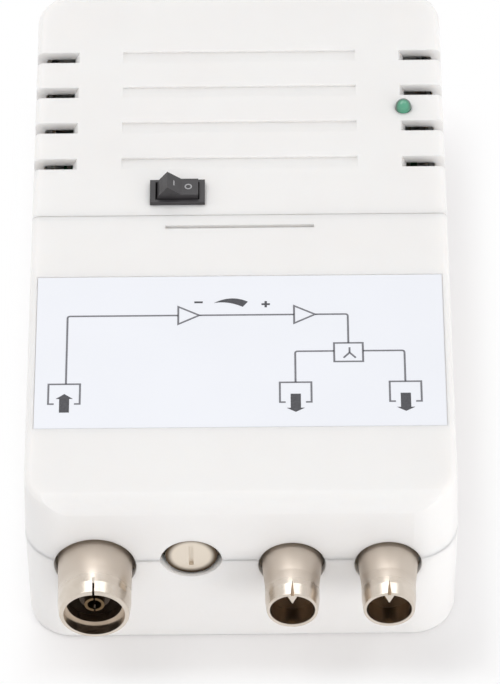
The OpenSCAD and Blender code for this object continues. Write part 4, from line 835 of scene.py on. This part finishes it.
@dataclass
class DiagramLabel:
    """The printed film on the lower cover: a signal path from one socket through a splitter to two."""

    line: float = 0.34
    ink: float = 0.02
    lift: float = 0.005
    corner: float = 0.5
    path_y: float = -19.35
    input_x: float = -31.0
    feed_x: float = -30.72
    output_xs: Pair = (9.75, 29.1)
    bracket_half: float = 2.78
    bracket_top: float = -35.55
    bracket_foot: float = -40.2
    bracket_toe: float = 1.0
    gain_xs: Pair = (-11.0, 9.64)
    gain_l: float = 3.75
    gain_half: float = 2.1
    split_x: float = 19.2
    split_half: float = 2.55
    split_top: float = -26.3
    split_foot: float = -30.72
    branch_y: float = -28.2
    fork_shift: Pair = (0.18, -0.4)
    fork_spread: float = 1.08
    fork_leg: float = 1.25
    wedge_tip: Pair = (-4.65, -16.4)
    wedge_pulls: tuple[Pair, Pair] = ((-2.1, -15.85), (-1.5, -14.4))
    wedge_ends: tuple[Pair, Pair] = ((0.5, -17.4), (1.4, -16.15))
    wedge_points: int = 14
    less_at: Pair = (-7.4, -16.2)
    more_at: Pair = (4.6, -16.8)
    sign_half: float = 0.75
    sign_line: float = 0.42
    arrow_shift: float = 0.05
    input_arrow: ArrowSign = ArrowSign(tail=-42.2, neck=-39.0, tip=-37.85, half=0.88, wing=1.5)
    output_arrow: ArrowSign = ArrowSign(tail=-38.25, neck=-41.55, tip=-42.5, half=0.9, wing=1.6)

    def heights(self) -> Pair:
        """Returns the heights of the ink's lower and upper faces."""
        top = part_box("front_label")[1].z / MM
        return top + self.lift, top + self.lift + self.ink

    def bar(self, corners: Sequence[Sequence[float]], closed: bool = False) -> Solid:
        """Draws one line of the diagram; an open line has rounded corners.

        Args:
            corners: The line's points, two numbers each.
            closed: Whether the line returns to its start.

        Returns:
            The line as a thin bar.
        """
        path = np.asarray(corners, float)
        if not closed and len(path) > 2:
            path = rounded_line(corners, self.corner)
        return bar_along(path, self.line, *self.heights(), closed=closed)

    def bracket(self, x: float) -> Solid:
        """Draws a socket sign: an open-footed box with short toes turned inwards.

        Args:
            x: Its middle line.

        Returns:
            The sign as a thin bar.
        """
        left, right = x - self.bracket_half, x + self.bracket_half
        top, foot, toe = self.bracket_top, self.bracket_foot, self.bracket_toe
        path = np.array([[left + toe, foot], [left, foot], [left, top], [right, top], [right, foot],
                         [right - toe, foot]])
        return bar_along(path, self.line, *self.heights())

    def fork(self) -> list[Solid]:
        """Draws the sign in the splitter: a stem that parts into two legs.

        Returns:
            The stem and the legs.
        """
        x, y = self.split_x + self.fork_shift[0], self.branch_y + self.fork_shift[1]
        foot = y - self.fork_leg
        stem = [[x, y + self.fork_leg], [x, y]]
        legs = [[x - self.fork_spread, foot], [x, y], [x + self.fork_spread, foot]]
        return [bar_along(np.array(path), self.line, *self.heights()) for path in (stem, legs)]

    def wedge(self) -> Solid:
        """Draws the gain wedge: two bowed curves from a point at the left that open towards the right.

        Returns:
            The wedge as a thin plate.
        """
        lower = bend(self.wedge_tip, self.wedge_pulls[0], self.wedge_ends[0], self.wedge_points)
        upper = bend(self.wedge_ends[1], self.wedge_pulls[1], self.wedge_tip, self.wedge_points)
        return plate_over(np.vstack([lower, upper[:-1]]), *self.heights())

    def gain_ends(self) -> list[Solid]:
        """Draws a minus at the narrow end of the gain wedge and a plus at its wide end.

        The plus is one arm's three corners as complex numbers, turned by four quarter turns.

        Returns:
            The minus and the plus.
        """
        reach, thin = self.sign_half, self.sign_line / 2
        arm = np.array([reach - 1j * thin, reach + 1j * thin, thin + 1j * thin])
        cross = np.concatenate([arm * 1j ** turn for turn in range(4)])
        plus = plate_over(np.stack([cross.real, cross.imag], axis=1) + self.more_at, *self.heights())
        dash = np.array([[-reach, 0.0], [reach, 0.0]]) + self.less_at
        return [bar_along(dash, self.sign_line, *self.heights()), plus]

    def build_lines(self) -> None:
        """Builds the line work: the gain triangles, the splitter, the runs between them and the sockets."""
        first, second = self.gain_xs
        left, right = self.output_xs
        run, branch, top = self.path_y, self.branch_y, self.bracket_top
        split_left, split_right = self.split_x - self.split_half, self.split_x + self.split_half
        triangles = [self.bar([[x, run - self.gain_half], [x + self.gain_l, run], [x, run + self.gain_half]],
                              closed=True) for x in self.gain_xs]
        box = self.bar([[split_left, self.split_foot], [split_right, self.split_foot],
                        [split_right, self.split_top], [split_left, self.split_top]], closed=True)
        runs = [self.bar(corners) for corners in (
            [[self.feed_x, top], [self.feed_x, run], [first, run]],
            [[first + self.gain_l, run], [second, run]],
            [[second + self.gain_l, run], [self.split_x, run], [self.split_x, self.split_top]],
            [[split_left, branch], [left, branch], [left, top]],
            [[split_right, branch], [right, branch], [right, top]],
        )]
        brackets = [self.bracket(x) for x in (self.input_x, left, right)]
        lines = Solid.joined([*triangles, box, *runs, *self.fork(), *brackets])
        carry(lines.piece("label_lines", False), "housing", LINE_INK)

    def build_signs(self) -> None:
        """Builds the filled signs: the gain wedge with its ends, and an arrow in each socket."""
        inward = plate_over(self.input_arrow.outline(self.input_x + self.arrow_shift), *self.heights())
        outward = [plate_over(self.output_arrow.outline(x), *self.heights()) for x in self.output_xs]
        signs = Solid.joined([self.wedge(), inward, *self.gain_ends(), *outward])
        carry(signs.piece("label_signs", False), "housing", SIGN_INK)

    def dress(self) -> None:
        """Dresses the film."""
        dress(["front_label"], LABEL_FILM)


@dataclass
class RockerSwitch:
    """The supply switch: black body and rocker, with a ring and a bar printed on the rocker's halves."""

    ring_at: Pair = (-9.3, 10.6)
    bar_at: Pair = (-11.9, 10.6)
    ring_radius: float = 0.55
    ring_points: int = 40
    bar_half: float = 0.6
    stroke: float = 0.24
    lift: float = 0.003
    ink: float = 0.02
    well_above: float = 1000.0

    def on_rocker(self, place: Pair, path: np.ndarray, closed: bool) -> Solid:
        """Lays a printed line on the rocker, on the plane where a line down through a place meets it.

        Args:
            place: X and Y of the line down, in millimetres.
            path: The printed line's points on the mark's own plane, two numbers each.
            closed: Whether the printed line returns to its start.

        Returns:
            The mark on the rocker's face.
        """
        tree = BVHTree.FromObject(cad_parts["switch_rocker"], bpy.context.evaluated_depsgraph_get())
        hit, normal, _, _ = tree.ray_cast(Vector((*place, self.well_above)) * MM, Vector((0, 0, -1)))
        across = Vector((0.0, 1.0, 0.0)).cross(normal).normalized()
        mark = bar_along(path, self.stroke, self.lift, self.ink, closed=closed)
        return mark.placed(np.array(hit) / MM, across, normal.cross(across), normal)

    def build(self) -> None:
        """Builds the two marks, which ride on the rocker."""
        turn = np.linspace(0.0, 2 * np.pi, self.ring_points, endpoint=False)
        circle = self.ring_radius * np.stack([np.cos(turn), np.sin(turn)], axis=1)
        dash = np.array([[0.0, -self.bar_half], [0.0, self.bar_half]])
        ring, bar = self.on_rocker(self.ring_at, circle, True), self.on_rocker(self.bar_at, dash, False)
        marks = Solid.joined([ring, bar])
        carry(marks.piece("rocker_marks", False), "rocker", MARK_INK)

    def dress(self) -> None:
        """Dresses the switch with its terminals and leads."""
        dress(["switch_body", "switch_rocker"], BLACK_PLASTIC)
        dress(["switch_terminals"], CONTACT_METAL)
        dress(["switch_leads"], BLUE_LEAD)


@dataclass
class IndicatorLamp:
    """The green lamp by the vents."""

    # The lens's lighter colour is painted light and its darker colour is painted shade.
    bright: Colour = display(74, 157, 124)
    deep: Colour = display(24, 76, 58)
    painted_light_shift: float = 0.8
    painted_light_band: Pair = (0.5, 1.45)

    def dress(self) -> None:
        """Dresses the lens and its leads. The lens is painted lighter round a point moved towards the camera
        side, as painted light, and darker towards its rim, as painted shade.
        """
        low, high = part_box("led_lens")
        # The lighter middle sits off the lens's centre, towards the camera: painted light.
        centre = ((low.x + high.x) / 2 / MM, (low.y + high.y) / 2 / MM - self.painted_light_shift)
        lens = RoundFinish("lamp_green", self.bright, self.deep, roughness=0.12, spread=0.06, pitch=0.5,
                           depth=0.002, coat=1.0, coat_rough=0.04, centre=centre, band=self.painted_light_band)
        dress(["led_lens"], lens)
        dress(["led_leads"], PIN_METAL)


@dataclass
class CoaxPorts:
    """The screened box with its sockets, plugs and gain adjuster."""

    barrels: tuple[str, ...] = ("input_barrel", "output_1_barrel", "output_2_barrel")
    contacts: tuple[str, ...] = ("input_contact", "output_1_pin", "output_2_pin")
    output_insulators: tuple[str, ...] = ("output_1_insulator", "output_2_insulator")

    def dress(self) -> None:
        """Dresses the metalwork and what the box holds, and both boards."""
        dress(self.barrels, NICKEL)
        dress(self.contacts, CONTACT_METAL)
        dress(["input_insulator"], INSULATOR)
        dress(self.output_insulators, PALE_INSULATOR)
        dress(["rf_frame", "rf_top_lid", "rf_bottom_lid"], TIN_PLATE)
        dress(["gain_shaft"], ADJUSTER_DISC)
        dress(["gain_body"], ADJUSTER)
        dress(["rf_board", "psu_board"], BOARD)
        dress(["rf_transistors"], DARK_COMPONENT)
        dress(["splitter_core"], FERRITE)
        dress(["ceramic_capacitors"], CERAMIC)
        dress(["rf_resistors"], RESISTOR)


@dataclass
class PowerSupply:
    """The mains supply on its own board behind the seam."""

    def dress(self) -> None:
        """Dresses the transformer, capacitors and small parts."""
        dress(["transformer_core"], CORE_IRON)
        dress(["transformer_bobbin"], BOBBIN)
        dress(["transformer_winding"], WINDING_TAPE)
        dress(["transformer_pins", "fuse_clips"], PIN_METAL)
        dress(["smoothing_capacitor", "output_capacitor"], SLEEVE)
        dress(["rectifier_diodes", "voltage_regulator"], DARK_COMPONENT)
        dress(["fuse_link"], FUSE_GLASS)
        dress(["terminal_block"], BLOCK)
        dress(["feed_leads"], RED_LEAD)


@dataclass(frozen=True)
class Lamp:
    """A broad oblong lamp that faces the part from one side; it may be kept out of gloss, or to gloss."""

    name: str
    way: tuple[float, float, float]
    watts: float
    across: float
    high: float
    far: float = 1.0
    mirrored: bool = True
    lights: bool = True

    def build(self) -> None:
        """Builds the lamp at its distance along its direction."""
        light = bpy.data.lights.new(self.name, "AREA")
        light.shape = "RECTANGLE"
        light.size, light.size_y = self.across, self.high
        light.energy = self.watts
        lamp = bpy.data.objects.new(self.name, light)
        lamp.visible_glossy, lamp.visible_diffuse = self.mirrored, self.lights
        way = Vector(self.way).normalized()
        turn = way.to_track_quat("Z", "Y").to_matrix().to_4x4()
        lamp.matrix_world = Matrix.Translation(way * self.far) @ turn
        bpy.context.scene.collection.objects.link(lamp)


@dataclass
class Studio:
    """White floor and surround: a key from above and behind, a card in gloss, a front lamp and a fill."""

    fill: float = 0.785
    zenith: float = 0.9
    overhead: Pair = (0.25, 0.75)
    key: Lamp = Lamp("key", (-0.27, 0.26, 0.93), 2.5, 0.9, 0.42)
    front: Lamp = Lamp("front_fill", (0.68, -0.75, 0.2), 2.8, 0.45, 0.45, mirrored=False)
    card: Lamp = Lamp("card", (0.38, 0.27, 0.93), 0.75, 0.38, 0.4, lights=False)
    paint: Colour = (0.97, 0.965, 0.97, 1.0)
    floor_half: float = 3000.0
    floor_cells: int = 12
    floor_drop: float = 0.05
    clear_x: Pair = (-35.0, 41.0)
    clear_y: Pair = (-69.0, 64.0)
    fade: float = 9.0

    def mirror(self, graph: ShaderGraph) -> Signal:
        """Returns 1 for rays by which gloss or glass shows a surface."""
        return graph.ray(Ray.GLOSSY).larger(graph.ray(Ray.TRANSMISSION))

    def build_world(self) -> None:
        """Builds the surround: white to the camera, a little grey overhead in gloss, and an even fill."""
        world = bpy.data.worlds.new("surround")
        world.use_nodes = True
        graph = ShaderGraph(world.node_tree)
        camera, mirror = graph.ray(Ray.CAMERA), self.mirror(graph)
        way = graph.signal("ShaderNodeTexCoord", {}, {}, "Generated")
        height = graph.signal("ShaderNodeSeparateXYZ", {}, {"Vector": way}, Axis.Z)
        mirrored = 1.0 - height.step(*self.overhead) * (1.0 - self.zenith)
        lit = mirror * mirrored + (1.0 - mirror) * self.fill
        strength = camera + (1.0 - camera) * lit
        sky = graph.node("ShaderNodeBackground", {}, {"Color": WHITE, "Strength": strength})
        graph.node("ShaderNodeOutputWorld", {}, {"Surface": sky.outputs[0]})
        bpy.context.scene.world = world

    def floor_material(self) -> bpy.types.Material:
        """Makes the floor's paint, which turns to plain white away from the part where the camera sees it.

        It is paint inside a clear oblong. The largest distance past a side of it sets the white's share.

        Returns:
            The floor's material.
        """
        made = bpy.data.materials.new("floor_paint")
        made.use_nodes = True
        graph = ShaderGraph(made.node_tree)
        x, y = graph.along(Axis.X), graph.along(Axis.Y)
        past_x = (x - self.clear_x[1]).larger(self.clear_x[0] - x)
        past = past_x.larger(y - self.clear_y[1]).larger(self.clear_y[0] - y)
        paint = graph.node("ShaderNodeBsdfDiffuse", {}, {"Color": self.paint})
        white = graph.node("ShaderNodeEmission", {}, {"Color": WHITE, "Strength": 1.0})
        share = graph.ray(Ray.CAMERA).larger(self.mirror(graph)) * past.step(0.0, self.fade)
        mixed = graph.node("ShaderNodeMixShader", {}, {0: share, 1: paint.outputs[0], 2: white.outputs[0]})
        graph.node("ShaderNodeOutputMaterial", {}, {"Surface": mixed.outputs[0]})
        return made

    def build_floor(self) -> None:
        """Builds the floor on which the part lies, as a square grid."""
        cells, row = self.floor_cells, self.floor_cells + 1
        line = np.linspace(-self.floor_half, self.floor_half, row)
        x, y = np.meshgrid(line, line)
        points = np.stack([x, y, np.full_like(x, -self.floor_drop)], axis=-1).reshape(-1, 3)
        k = (np.arange(cells)[:, None] * row + np.arange(cells)[None, :]).reshape(-1)
        faces = np.stack([k, k + 1, k + row + 1, k + row], axis=1).tolist()
        floor = Solid(points, faces).piece("floor", False)
        floor.data.materials.append(self.floor_material())

    def build(self) -> None:
        """Builds the surround, floor and lamps, and leaves the picture's tones plain."""
        bpy.context.scene.view_settings.view_transform = "Standard"
        self.build_world()
        self.build_floor()
        for lamp in (self.key, self.front, self.card):
            lamp.build()
        LOG.info("built the studio")


@dataclass
class PhotoCamera:
    """The camera at the photograph's place: it looks down at the label face from the socket end."""

    target: tuple[float, float, float] = (1.76, -26.0, 36.04)
    distance: float = 937.3
    elevation: float = 47.794
    yaw: float = -0.3448
    roll: float = -0.7678
    focal_px: float = 5284.3
    long_side_px: float = 684.0
    sensor: float = 36.0
    clip: Pair = (0.05, 20.0)

    def build(self) -> None:
        """Builds the camera from its target, distance and three angles."""
        tip, yaw, roll = math.radians(self.elevation), math.radians(self.yaw), math.radians(self.roll)
        look = Vector((math.sin(yaw) * math.cos(tip), math.cos(yaw) * math.cos(tip), -math.sin(tip)))
        level = Vector((math.cos(yaw), -math.sin(yaw), 0.0))
        rise = level.cross(look)
        right = level * math.cos(roll) + rise * math.sin(roll)
        up = rise * math.cos(roll) - level * math.sin(roll)
        place = (Vector(self.target) - look * self.distance) * MM
        lens = bpy.data.cameras.new("photo_camera")
        lens.sensor_width, lens.lens = self.sensor, self.focal_px * self.sensor / self.long_side_px
        lens.clip_start, lens.clip_end = self.clip
        camera = bpy.data.objects.new("photo_camera", lens)
        turn = Matrix((right, up, -look)).transposed().to_4x4()
        camera.matrix_world = Matrix.Translation(place) @ turn
        bpy.context.scene.collection.objects.link(camera)
        bpy.context.scene.camera = camera
        LOG.info("placed the camera")


def main() -> None:
    """Builds and dresses the sub-assemblies in order."""
    logging.basicConfig(level=logging.INFO, format="%(message)s")
    PhotoCamera().build()
    Studio().build()
    housing = Housing()
    housing.dress()
    housing.build_screw_heads()
    label = DiagramLabel()
    label.dress()
    label.build_lines()
    label.build_signs()
    switch = RockerSwitch()
    switch.dress()
    switch.build()
    IndicatorLamp().dress()
    CoaxPorts().dress()
    PowerSupply().dress()


if __name__ == "__main__":
    main()
